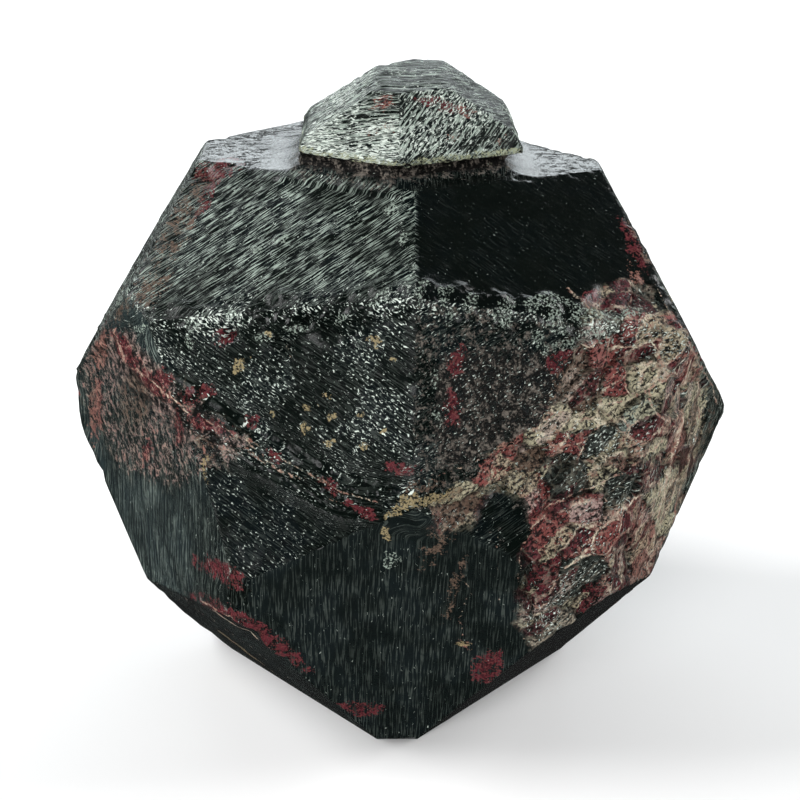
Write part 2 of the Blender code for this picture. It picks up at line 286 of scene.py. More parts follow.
# Spots in the front view: place, half length, half width and angle of rise to the right
RED_SPOTS = (
    (218, 170, 22, 10, 12), (204, 200, 24, 6, 62), (223, 337, 10, 9, 0), (128, 354, 28, 7, -58),
    (152, 385, 22, 9, -42), (176, 427, 20, 5, 85), (191, 398, 11, 9, 0), (196, 422, 12, 7, -60),
    (165, 378, 10, 8, 0), (205, 393, 9, 6, 0), (215, 425, 20, 7, -15), (252, 422, 8, 7, 0), (92, 408, 32, 5, 86),
    (275, 456, 9, 6, -40), (331, 487, 12, 5, -35), (362, 510, 16, 5, -30), (403, 468, 18, 6, -5),
    (458, 361, 16, 9, 78), (452, 410, 19, 9, 86), (221, 574, 28, 8, -29), (251, 631, 60, 10, -32),
    (466, 507, 12, 8, 30), (488, 666, 17, 13, 60), (360, 708, 22, 5, -3), (632, 236, 22, 6, -62),
    (560, 362, 15, 12, 20), (596, 300, 14, 8, 12), (640, 258, 18, 6, -60), (142, 455, 14, 5, 84),
)
PINK_SPOTS = (
    (98, 352, 34, 7, 74), (90, 408, 44, 7, 88), (505, 447, 20, 4, 28), (493, 469, 10, 4, 20), (445, 516, 18, 5, -20),
    (205, 462, 16, 3, -80), (575, 385, 18, 12, 60), (465, 646, 9, 5, -25),
    (690, 430, 60, 7, 76), (650, 300, 42, 6, -58), (672, 350, 30, 8, -52),
)
RUST_SPOTS = (
    (180, 226, 78, 15, 62), (118, 300, 34, 18, 60), (645, 245, 42, 9, -62), (150, 290, 30, 16, 40),
    (440, 540, 40, 14, 60), (455, 590, 40, 8, 74), (560, 385, 26, 14, 50), (130, 400, 34, 22, 80),
    (700, 440, 60, 12, 74), (205, 450, 22, 12, -60), (420, 485, 30, 10, 10),
)
MINT_SPOTS = (
    (505, 314, 14, 10, 80), (545, 303, 22, 8, 6), (557, 322, 13, 8, 80), (580, 314, 12, 8, -60), (537, 340, 8, 6, 80),
    (557, 347, 15, 6, 25), (577, 340, 14, 8, 20), (603, 315, 16, 8, 0), (634, 311, 9, 6, 20), (603, 338, 14, 6, -30),
    (445, 297, 12, 5, 75), (449, 317, 9, 5, 80), (437, 380, 11, 4, 85), (437, 418, 10, 4, 85), (192, 324, 7, 5, 0),
    (191, 338, 13, 3, 86), (142, 329, 7, 5, 20), (421, 291, 13, 4, 84), (392, 566, 9, 8, 0), (340, 322, 10, 4, 30),
    (236, 318, 12, 5, -30), (380, 300, 14, 5, 40), (470, 302, 10, 5, 60), (300, 330, 12, 4, 10), (262, 338, 12, 4, 20),
    (283, 241, 7, 5, 20), (394, 211, 7, 5, 60), (258, 251, 6, 4, 0), (404, 238, 4, 8, 0), (372, 272, 7, 4, 30),
)
OCHRE_SPOTS = (
    (240, 366, 13, 4, 25), (274, 413, 4.8, 3.1, 0), (306, 407, 4.8, 2.5, 20), (304, 429, 4.8, 3.1, 0),
    (269, 334, 4.8, 2.5, 0), (377, 343, 6.9, 3.1, 0), (393, 361, 4.8, 2.5, 0), (327, 399, 5.5, 3.1, -30),
    (310, 407, 6.9, 3.1, -20), (330, 416, 5.5, 2.5, 0), (363, 415, 5.5, 3.1, 0), (379, 430, 5.5, 1.9, 10),
    (330, 444, 4.8, 1.9, 0), (365, 451, 4.8, 2.5, 0), (394, 514, 5.5, 4.3, 0), (391, 540, 8.3, 4.3, -62),
    (421, 500, 20, 6, 10), (465, 646, 7.6, 3.1, -25), (445, 498, 16, 5, 8), (206, 466, 15, 3, -82),
)
CAP_RED_SPOTS = ((384, 103, 9, 5, 25), (447, 106, 24, 5, -12), (430, 100, 14, 4, 0), (466, 112, 9, 5, -20))
CAP_PINK_SPOTS = (
    (384, 103, 16, 8, 25), (388, 128, 8, 9, 60), (502, 140, 8, 7, -60), (470, 112, 14, 7, -40), (452, 137, 16, 5, 10),
    (430, 182, 45, 6, 0), (372, 132, 10, 6, 0),
)

# The front's finish on each quarter of the way round: its sides kept or swapped, its moves, its broken share
SIDES = ((1.0, 0.0, 0.0, 1.0), (1.0, 40.0, 45.0, 0.0), (-1.0, -60.0, 25.0, 0.6), (1.0, -25.0, -35.0, 0.0))

# Thin veins in the front view, each a half width and the places it runs through
VEINS = (
    (1.3, ((139, 370), (162, 390), (177, 403), (191, 416))),
    (0.8, ((115, 328), (118, 342), (128, 364), (143, 377))),
    (0.9, ((203, 419), (229, 429), (246, 442), (262, 455), (278, 470), (309, 481))),
    (0.8, ((230, 436), (262, 446), (300, 468), (345, 492), (380, 503))),
    (1.0, ((202, 447), (204, 462), (207, 478))),
    (1.0, ((283, 346), (288, 355), (295, 366))),
    (1.6, ((674, 378), (649, 390), (632, 401), (606, 404), (588, 410), (548, 433))),
    (0.7, ((548, 433), (520, 442), (490, 456), (455, 470), (430, 480))),
    (1.7, ((652, 334), (641, 342), (632, 355), (628, 370), (628, 387), (632, 399))),
    (1.9, ((652, 336), (660, 353), (667, 369), (672, 379))),
    (1.5, ((649, 393), (655, 410), (663, 418), (672, 427))),
    (1.9, ((578, 549), (595, 534), (612, 520), (630, 507), (648, 496))),
    (2.6, ((566, 568), (577, 560), (590, 556), (611, 555))),
    (1.0, ((551, 512), (530, 532), (521, 556), (519, 600), (524, 640))),
    (0.9, ((459, 568), (473, 593), (466, 606), (461, 618), (464, 636))),
    (1.0, ((656, 282), (668, 310), (690, 345), (713, 385), (716, 405))),
    (0.9, ((568, 288), (578, 299), (592, 308))),
    (0.8, ((203, 601), (235, 622), (262, 652))),
    (1.1, ((548, 449), (566, 446), (589, 442), (604, 430))),
    (1.2, ((600, 404), (607, 386), (618, 372), (631, 363))),
    (1.1, ((540, 520), (552, 507), (572, 496), (598, 486), (640, 462), (664, 440))),
    (1.0, ((597, 474), (609, 500), (616, 515))),
    (1.0, ((690, 372), (684, 420), (668, 480), (657, 530), (648, 580))),
    (0.8, ((703, 380), (700, 425), (682, 490), (668, 540))),
    (0.7, ((500, 520), (497, 560), (500, 610))),
    (0.7, ((430, 497), (470, 492), (520, 470), (560, 452))),
    (0.5, ((232, 430), (262, 446), (290, 464), (330, 486), (372, 500))),
    (0.5, ((226, 434), (250, 450), (272, 467), (300, 480))),
    (0.4, ((243, 446), (258, 461), (282, 474), (318, 494), (350, 505))),
)


# Shapes of the crystals

def crystal_turn():
    """The rotation that lays the crystal on its lower back face."""
    tilt = Matrix.Rotation(-math.radians(AXIS_TILT_DEG), 3, "X")
    spin = Matrix.Rotation(math.radians(AXIS_SPIN_DEG), 3, "Z")
    lean = Matrix.Rotation(math.radians(AXIS_LEAN_DEG), 3, "Y")
    return lean @ spin @ tilt


TURN = crystal_turn()


def turned(indices):
    """The direction of crystal indices on the crystal as it lies."""
    h, k, l = indices
    half = math.sqrt(2)
    return (TURN @ Vector(((h + k) / half, (k - h) / half, l))).normalized()


SHELF_UP = turned(MAIN_FACES["shelf"][0])


def stripe_run(indices):
    """The direction in which growth stripes run on a face: the body diagonal that lies in it."""
    for diagonal in ((1, 1, 1), (-1, 1, 1), (1, -1, 1), (1, 1, -1)):
        if sum(a * b for a, b in zip(diagonal, indices)) == 0:
            return turned(diagonal)
    return turned(indices).orthogonal().normalized()


def run_in_view(normal, angle_deg):
    """The direction in a face that rises to the right at an angle in the front view."""
    angle, towards = math.radians(angle_deg), Vector(TOWARDS_VIEW)
    shown = Vector((1, 0, 0)) * math.cos(angle) + Vector(UP_IN_VIEW) * math.sin(angle)
    return (shown - towards * (normal.dot(shown) / normal.dot(towards))).normalized()


def face_set(faces, stripes_deg, stripe_lengths):
    """The direction, the plane and the run of the stripes of each crystal face; a shorter run makes longer stripes."""
    directions, planes, runs = [], [], []
    for name, (indices, distance) in faces.items():
        direction = turned(indices)
        run = run_in_view(direction, stripes_deg[name]) if name in stripes_deg else stripe_run(indices)
        directions.append(direction)
        planes.append((direction, distance))
        runs.append(run / stripe_lengths.get(name, 1.0))
    return directions, planes, runs


def solid_of_planes(planes):
    """A closed convex mesh: a large cube cut by each plane, given as outward normal and distance."""
    bm = bmesh.new()
    bmesh.ops.create_cube(bm, size=START_CUBE)
    for normal, distance in planes:
        geom = bm.verts[:] + bm.edges[:] + bm.faces[:]
        cut = bmesh.ops.bisect_plane(
            bm, geom=geom, dist=1e-6, plane_co=normal * distance, plane_no=normal, clear_outer=True
        )
        edges = [item for item in cut["geom_cut"] if isinstance(item, bmesh.types.BMEdge)]
        if edges:
            bmesh.ops.contextual_create(bm, geom=edges)
    bmesh.ops.remove_doubles(bm, verts=bm.verts[:], dist=SMALLEST_EDGE)
    bmesh.ops.recalc_face_normals(bm, faces=bm.faces[:])
    return bm


def plan_direction(direction_deg):
    """A level direction, by its angle in plan."""
    direction = math.radians(direction_deg)
    return math.cos(direction), math.sin(direction), 0.0


def neck_planes():
    """The walls between the shelf and the rim of the cap, after its top and its foot."""
    flare = math.radians(NECK_FLARE_DEG)
    planes = [(SHELF_UP, CAP_RIM + NECK_OVERLAP), (-SHELF_UP, -NECK_FOOT)]
    for direction_deg, distance in NECK_WALLS:
        normal = Vector(plan_direction(direction_deg)) * math.cos(flare) + Vector((0, 0, math.sin(flare)))
        planes.append((normal, distance * math.cos(flare) + CAP_RIM * math.sin(flare)))
    return planes


def new_object(name, bm):
    """An object in the scene made of a mesh."""
    mesh = bpy.data.meshes.new(name)
    bm.to_mesh(mesh)
    bm.free()
    obj = bpy.data.objects.new(name, mesh)
    bpy.context.scene.collection.objects.link(obj)
    return obj


def joined(base_bm, other_bm):
    """Two closed meshes joined in one."""
    objects = [new_object("join", bm) for bm in (base_bm, other_bm)]
    union = objects[0].modifiers.new("join", "BOOLEAN")
    union.operation = "UNION"
    union.solver = "EXACT"
    union.object = objects[1]
    bm = bmesh.new()
    bm.from_mesh(objects[0].evaluated_get(bpy.context.evaluated_depsgraph_get()).data)
    for obj in objects:
        mesh = obj.data
        bpy.data.objects.remove(obj, do_unlink=True)
        bpy.data.meshes.remove(mesh)
    bmesh.ops.dissolve_limit(bm, angle_limit=math.radians(0.6), verts=bm.verts[:], edges=bm.edges[:])
    bmesh.ops.remove_doubles(bm, verts=bm.verts[:], dist=0.02)
    bmesh.ops.recalc_face_normals(bm, faces=bm.faces[:])
    return bm


def crease_lines(bm):
    """Every edge of a plain solid: its ends, the mean direction of its faces, its turn, and 1 or -1 for in or out."""
    lines = []
    for edge in bm.edges:
        one, two = edge.link_faces
        turn = one.normal.angle(two.normal)
        if turn > math.radians(1):
            ends = [np.array(vert.co) for vert in edge.verts]
            mean = np.array((one.normal + two.normal).normalized())
            lines.append((*ends, mean, turn, 1.0 if edge.is_convex else -1.0))
    return lines


def refine(bm, step_at):
    """Halves the edges that are longer than the step wanted at their middle, over and over."""
    bmesh.ops.triangulate(bm, faces=bm.faces[:])
    for _ in range(HALVINGS):
        ends = np.array([(edge.verts[0].co, edge.verts[1].co) for edge in bm.edges])
        lengths = np.linalg.norm(ends[:, 0] - ends[:, 1], axis=1)
        too_long = lengths > step_at(ends.mean(axis=1))
        if not too_long.any():
            break
        edges = [edge for edge, wanted in zip(bm.edges, too_long) if wanted]
        bmesh.ops.subdivide_edges(bm, edges=edges, cuts=1)
        bmesh.ops.triangulate(bm, faces=bm.faces[:])
        if len(bm.faces) < EVEN_BELOW:
            flat = [edge for edge in bm.edges if edge.calc_face_angle(0) < math.radians(0.1)]
            bmesh.ops.beautify_fill(bm, faces=bm.faces[:], edges=flat)


# Measures on many points at once

def smooth_step(low, high, value):
    """Rises from 0 to 1 between low and high."""
    share = np.clip((value - low) / (high - low), 0.0, 1.0)
    return share * share * (3 - 2 * share)


def fade(low, high, value):
    """Falls from 1 to 0 between low and high."""
    return 1 - smooth_step(low, high, value)


def noise_at(points, span, shift=0.0):
    """Smooth noise from -1 to 1 with lumps of the given span."""
    return np.array([noise.noise(Vector(p)) for p in points / span + shift])


def rough_noise_at(points, span, octaves=4, shift=0.0):
    """Noise with finer noise on it."""
    return np.array([noise.fractal(Vector(p), 0.9, 2.1, octaves) for p in points / span + shift])


def noise_pair(points, span, first=0.0, second=9.0):
    """Two unlike noises side by side, to move places in the front view by."""
    return np.stack([noise_at(points, span, first), noise_at(points, span, second)], axis=1)


def front_view(points):
    """Where points show in the front view: across from the left and down from the top."""
    near = points[:, 1] * TOWARDS_VIEW[1] + points[:, 2] * TOWARDS_VIEW[2]
    up = points[:, 1] * UP_IN_VIEW[1] + points[:, 2] * UP_IN_VIEW[2]
    scale = VIEW_SCALE * VIEW_FROM / (VIEW_FROM - near)
    return np.stack([VIEW_MIDDLE[0] + points[:, 0] * scale, VIEW_MIDDLE[1] - up * scale], axis=1)


def facing_front(points, normals):
    """The cosine between each normal and the way to the front camera."""
    away = np.array(TOWARDS_VIEW) * VIEW_FROM - points
    away /= np.linalg.norm(away, axis=1)[:, None]
    return (away * normals).sum(axis=1)


def seen_in_front(points, normals):
    """Share to which points are seen well in the front view."""
    return smooth_step(0.05, 0.30, facing_front(points, normals))


def segment_gap(points, start, end):
    """Distance of points from a straight piece of line."""
    start, end = np.asarray(start, float), np.asarray(end, float)
    run = end - start
    share = np.clip(((points - start) @ run) / (run @ run), 0.0, 1.0)
    return np.linalg.norm(points - (start + share[:, None] * run), axis=1)


def line_gap(places, line):
    """Distance from a line in the front view: positive below it, negative above."""
    best = np.full(len(places), FAR)
    for start, end in zip(line, line[1:]):
        gap, run, away = segment_gap(places, start, end), np.subtract(end, start), places - start
        side = np.where(run[0] * away[:, 1] - run[1] * away[:, 0] > 0, 1.0, -1.0)
        best = np.where(gap < abs(best), side * gap, best)
    return best


def inside_by(places, outline):
    """How far places lie inside a closed outline; negative outside."""
    gap = np.full(len(places), FAR)
    inside = np.zeros(len(places), bool)
    for start, end in zip(outline, outline[1:] + outline[:1]):
        gap = np.minimum(gap, segment_gap(places, start, end))
        crosses = (start[1] > places[:, 1]) != (end[1] > places[:, 1])
        if start[1] != end[1]:
            at = start[0] + (places[:, 1] - start[1]) * (end[0] - start[0]) / (end[1] - start[1])
            inside ^= crosses & (places[:, 0] < at)
    return np.where(inside, gap, -gap)


def along_and_across(places, x, y, angle_deg):
    """Places seen from one of them, along and across a direction that rises to the right."""
    angle = math.radians(angle_deg)
    dx, dy = places[:, 0] - x, y - places[:, 1]
    return dx * math.cos(angle) + dy * math.sin(angle), dy * math.cos(angle) - dx * math.sin(angle)


def oval_share(places, spots, soft=0.55):
    """Share to which places are covered by oval spots with soft edges."""
    share = np.zeros(len(places))
    for x, y, long, wide, angle_deg in spots:
        along, across = along_and_across(places, x, y, angle_deg)
        share = np.maximum(share, fade(1 - soft, 1 + soft, np.hypot(along / long, across / wide)))
    return share


def round_share(places, spots, flat, edge=1.0):
    """Height of round spots, each level out to a flat part of its radius and gone at the edge."""
    share = np.zeros(len(places))
    for x, y, radius, full in spots:
        gap = np.hypot(places[:, 0] - x, places[:, 1] - y) / radius
        share = np.maximum(share, full * fade(flat, edge, gap))
    return share


def splinter_cells(places):
    """For each place its splinter, the gap to the border with the next one, and its place in the splinter."""
    gaps, offsets = [], []
    for x, y, angle_deg, stretch, _, _ in SPLINTERS:
        along, across = along_and_across(places, x, y, angle_deg)
        gaps.append(np.hypot(along / math.sqrt(stretch), across * math.sqrt(stretch)))
        offsets.append(np.stack([along, across], axis=1))
    gaps, column = np.array(gaps), np.arange(len(places))
    first, second = np.argsort(gaps, axis=0)[:2]
    border = (gaps[second, column] - gaps[first, column]) / 2
    return first, border, np.array(offsets)[first, column]


def crust_lumps():
    """Place, radius and height of the lumps on the level edge across the front, most of them right of the centre."""
    rng = random.Random(11)
    lumps = []
    for index in range(CRUST_LUMPS):
        share = (index + rng.random()) / CRUST_LUMPS
        across = -21.0 + 42.5 * share ** 0.72
        middle = 9.4 - abs(across - 2.0) * 0.085
        up = middle - (rng.random() ** 1.3) * (3.6 if across > 3.0 else 2.0) + 0.6
        lumps.append((VIEW_MIDDLE[0] + VIEW_SCALE * across, VIEW_MIDDLE[1] - VIEW_SCALE * up,
                      VIEW_SCALE * (0.75 + 0.75 * rng.random()), 0.5 + 0.5 * rng.random()))
    return lumps


def chipped(points, cell, shift=0.0):
    """Small flat chips at random slopes, in parts of the cell's size."""
    heights = np.empty(len(points))
    for index, point in enumerate(points / cell + shift):
        spot = Vector(point)
        first = noise.voronoi(spot)[1][0]
        lean = noise.cell_vector(first * 31.7)
        heights[index] = 0.35 * (lean.x + lean.y - 1.0) + 0.5 * (lean - Vector((0.5, 0.5, 0.5))).dot(spot - first)
    return heights * cell


# Finishes over the surface, as shares

def shares_in_view(places, points, broken):
    """The share of each finish at places of a view, with a share of its broken zone."""
    warp = 4.0 * noise_pair(points, 1.6) + 1.5 * noise_pair(points, 0.5, 3.0, 5.0)
    moved, torn = places + warp, places + 2.2 * warp
    zone = broken * smooth_step(-5.0, 7.0, inside_by(places + 2.5 * warp, BROKEN_ZONE))
    cell, border, _ = splinter_cells(moved)
    shares = {"zone": zone, "border": zone * fade(0.2, 2.0, border)}
    rng = random.Random(8)
    shares["tone"] = 0.5 + zone * (np.array([rng.random() for _ in SPLINTERS])[cell] - 0.5)
    for kind in SPLINTER_KINDS:
        shares[kind] = np.array([float(row[4] == kind) for row in SPLINTERS])[cell] * zone
    for kind, most, spots in (("rust", 0.45, RUST_SPOTS), ("red", 1.0, RED_SPOTS), ("salmon", 0.55, PINK_SPOTS)):
        shares[kind] = np.maximum(shares[kind], most * oval_share(moved, spots))
    shares["crust"] = 0.9 * oval_share(places + 1.4 * warp, MINT_SPOTS)
    shares["ochre"] = oval_share(torn, OCHRE_SPOTS, 0.8)
    shares["band"] = fade(0.6, 2.4, abs(line_gap(torn, EQUATOR_LINE)) / VIEW_SCALE)
    shares["left"] = smooth_step(-12.0, 14.0, inside_by(moved, LEFT_ZONE))
    shares["salmon"] = np.maximum(shares["salmon"], 0.3 * shares["left"])
    shares["weathering_and_shade"] = 0.85 * shares["left"]
    for most, outline in ((0.7, RIGHT_DULL_ZONE), (0.2, LOW_BROWN_ZONE)):
        shares["weathering_and_shade"] = np.maximum(shares["weathering_and_shade"], most * smooth_step(-14.0, 20.0, inside_by(moved, outline)))
    shares["low"] = smooth_step(0.0, 4.0, line_gap(places, FALL_LINE) / VIEW_SCALE)
    vein = np.full(len(places), VEIN_REACH)
    for half_width, line in VEINS:
        vein = np.minimum(vein, abs(line_gap(places + 0.6 * warp, line)) - 0.6 * half_width)
    shares["vein"] = vein / VIEW_SCALE
    return shares


def finish_shares(points, normals):
    """The share of each finish all round: the front view's own, and turned and moved ones for the other sides."""
    front = seen_in_front(points, normals)
    sides = []
    for quarter, (side, across, down, broken) in enumerate(SIDES):
        turn = np.array(Matrix.Rotation(-math.radians(90 * quarter), 3, "Z"))
        mirror = np.array([side, 1.0, 1.0])
        seen_points, seen_normals = (points @ turn.T) * mirror, (normals @ turn.T) * mirror
        weight = front if quarter == 0 else np.clip(facing_front(seen_points, seen_normals), 0, 1) ** 2
        sides.append((front_view(seen_points) + (across, down), broken, weight))
    rest = sum(weight for _, _, weight in sides[1:]) + 1e-6
    total = {}
    for quarter, (places, broken, weight) in enumerate(sides):
        weight = weight if quarter == 0 else (1 - front) * weight / rest
        used = weight > LEAST_SHARE
        for key, values in shares_in_view(places[used], points[used], broken).items():
            if key == "vein":
                part = total.setdefault(key, np.full(len(points), VEIN_REACH / VIEW_SCALE))
                part[used] = np.minimum(part[used], values + 4.0 * fade(0.2, 0.6, weight[used]))
            else:
                total.setdefault(key, np.zeros(len(points)))[used] += values * weight[used]
    return total


def nearest_faces(normals, directions):
    """The index of the crystal face that each normal belongs to."""
    return np.argmax(normals @ np.array(directions).T, axis=1)


def worn_creases(points, lines, radius, long_span, short_span):
    """The move that wears down every crease unevenly, and each point's distance from the nearest one."""
    wear = radius * (1 + 0.7 * noise_at(points, long_span) + 0.5 * noise_at(points, short_span))
    nearest = np.full(len(points), FAR)
    move = np.zeros((len(points), 3))
    for start, end, mean, turn, sign in lines:
        gap = segment_gap(points, start, end)
        reach = np.maximum(wear * math.tan(turn / 2) * 1.6, 0.3)
        depth = np.minimum(wear * (1 / math.cos(turn / 2) - 1), 0.35)
        move -= mean * (sign * depth * np.clip(1 - gap / reach, 0.0, 1.0) ** 2)[:, None]
        nearest = np.minimum(nearest, gap)
    return move, nearest


def edge_chips(points, nearest, span, least, reach):
    """Share to which small chips take away the creases."""
    return np.clip(noise_at(points, span, 6.0) - least, 0.0, 1.0) * fade(0.0, reach, nearest)


def stripe_places(points, face, runs, directions):
    """Each point's place along and across the stripes of its face."""
    along = np.array(runs)[face]
    across = np.cross(np.array(directions)[face], along)
    across /= np.linalg.norm(across, axis=1)[:, None]
    return (points * along).sum(axis=1), (points * across).sum(axis=1)


def groove_height(points, along, across, span):
    """Uneven grooves that run along the stripes, from -1 to 1."""
    wander = 0.5 * noise_at(points, 4.0, 2.0)
    grid = np.stack([along * 0.16, (across + wander) / span, 0.07 * along], axis=1)
    return noise_at(grid, 1.0) + 0.55 * noise_at(grid * (2.3, 2.1, 2.0), 1.0, 7.0)


def main_relief(points, look, along, across, shares, sizes):
    """How far the main crystal's surface stands out of its planes, and how far it sinks below the ledge."""
    places = front_view(points)
    gap = line_gap(places, FALL_LINE) / VIEW_SCALE
    front = fade(3.0, 5.0, points[:, 1] * math.cos(VIEW_RISE))
    left = fade(405, 425, places[:, 0])
    upper = fade(15.5, 17.5, (VIEW_MIDDLE[1] - places[:, 1]) / VIEW_SCALE)
    warp = 4.0 * noise_pair(points, 1.6)

    # Swell, grooves and grain
    height = SWELL_DEPTH * noise_at(points, SWELL_SPAN) + 0.4 * SWELL_DEPTH * noise_at(points, SWELL_SPAN / 2.7)
    height += sizes.groove_depth * look[:, 1] * groove_height(points, along, across, sizes.groove_span)
    grain = rough_noise_at(points, 1.1)
    height += (0.03 + 0.05 * shares["weathering_and_shade"] + 0.06 * shares["crust"]) * grain * (1 - 0.85 * look[:, 3])

    # The ledge and its strands
    drop = smooth_step(-0.2, LEDGE_WIDTH, gap) * fade(6.0, 13.0, gap)
    strands = smooth_step(-3.5, -0.8, gap) * fade(0.6, 2.5, gap)
    wave = np.sin(gap * 6.4 + 2.2 * noise_at(points, 3.0)) + 0.6 * np.sin(gap * 13.0 + 3.0 * noise_at(points, 2.0, 4.0))
    height += front * left * sizes.strand_depth * strands * wave

    # Crust lumps, pits and the ridges of the level edge
    lumps = round_share(places, crust_lumps(), 0.2, 1.6) * (0.8 + 0.5 * rough_noise_at(points, 0.7, 3, 4.0))
    height += front * upper * (sizes.crust_height * lumps + 0.12 * shares["crust"])
    height -= front * round_share(places + 2.0 * warp, [(*pit, PIT_DEPTH) for pit in PITS], 0.1) * (1 + 0.5 * grain)
    ridged = 1 - 2.2 * abs(noise_at(points * (1.0, 1.0, 0.6), 0.85, 12.0))
    height += shares["band"] * front * upper * (0.16 * ridged + 0.10 * rough_noise_at(points, 0.5, 3, 14.0) - 0.1)

    # Splinters, veins and the chipped left zone
    cell, border, spot = splinter_cells(places + warp)
    rng = random.Random(5)
    slopes = np.array([(rng.uniform(-0.22, 0.22), rng.uniform(-0.34, 0.34)) for _ in SPLINTERS])[cell]
    levels = np.array([row[5] for row in SPLINTERS])[cell]
    tilt = np.clip((slopes * spot).sum(axis=1) / VIEW_SCALE, -0.6, 0.45)
    zone, chips = shares["zone"] * front, np.zeros(len(points))
    used = zone > LEAST_SHARE
    chips[used] = chipped(points[used], 2.6) + 0.35 * chipped(points[used], 1.1, 3.0)
    height += zone * sizes.broken_depth * (levels + tilt - 0.25)
    height += zone * (0.22 * chips - 0.12 * fade(0.0, 3.0, border))
    height += 0.04 * fade(0.0, 0.15, shares["vein"])
    height += 0.05 * shares["left"] * chipped(points, 1.2, 8.0)
    return height, front * left * LEDGE_DROP * drop


def near_neck(points):
    """Share to which points of the shelf are near the neck."""
    level = points @ np.array(SHELF_UP)
    outside = np.full(len(points), -FAR)
    for direction_deg, distance in NECK_WALLS:
        wall = distance + (CAP_RIM - level) * math.tan(math.radians(NECK_FLARE_DEG))
        outside = np.maximum(outside, points @ np.array(plan_direction(direction_deg)) - wall)
    return np.exp(-np.clip(outside, 0.0, None) / 0.9) * (level > SHELF_LEVEL - 0.5)


def read_rows(collection, key):
    """The vectors of a mesh, as rows."""
    rows = np.empty(len(collection) * 3, np.float32)
    collection.foreach_get(key, rows)
    return rows.reshape(-1, 3).astype(float)


def surface_object(name, bm, directions, runs, build):
    """An object of a refined solid, its vertices moved and its shares and stripe map set by build."""
    obj = new_object(name, bm)
    mesh = obj.data
    points, normals = read_rows(mesh.vertices, "co"), read_rows(mesh.vertex_normals, "vector")
    face = nearest_faces(read_rows(mesh.polygon_normals, "vector"), directions)
    corners = np.empty(len(mesh.loops), np.int32)
    mesh.loops.foreach_get("vertex_index", corners)
    moved, shares = build(points, normals)
    along, across = stripe_places(points[corners], np.repeat(face, 3), runs, directions)
    if "bend" in shares:
        bend, flow = shares.pop("bend")[corners], shares.pop("flow")[corners]
        across += bend * (flow - across)
    layer = mesh.uv_layers.new(name="Stripes")
    layer.uv.foreach_set("vector", np.stack([along, across], axis=1).astype(np.float32).ravel())
    for key, values in shares.items():
        attribute = mesh.attributes.new(key, "FLOAT", "POINT")
        attribute.data.foreach_set("value", values.astype(np.float32))
    placed = (moved + np.array([0.0, 0.0, CENTRE_HEIGHT])) * MM
    mesh.vertices.foreach_set("co", placed.astype(np.float32).ravel())
    mesh.polygons.foreach_set("use_smooth", np.ones(len(mesh.polygons), bool))
    mesh.set_sharp_from_angle(angle=math.radians(SHARP_TURN_DEG))
    mesh.update()
    return obj


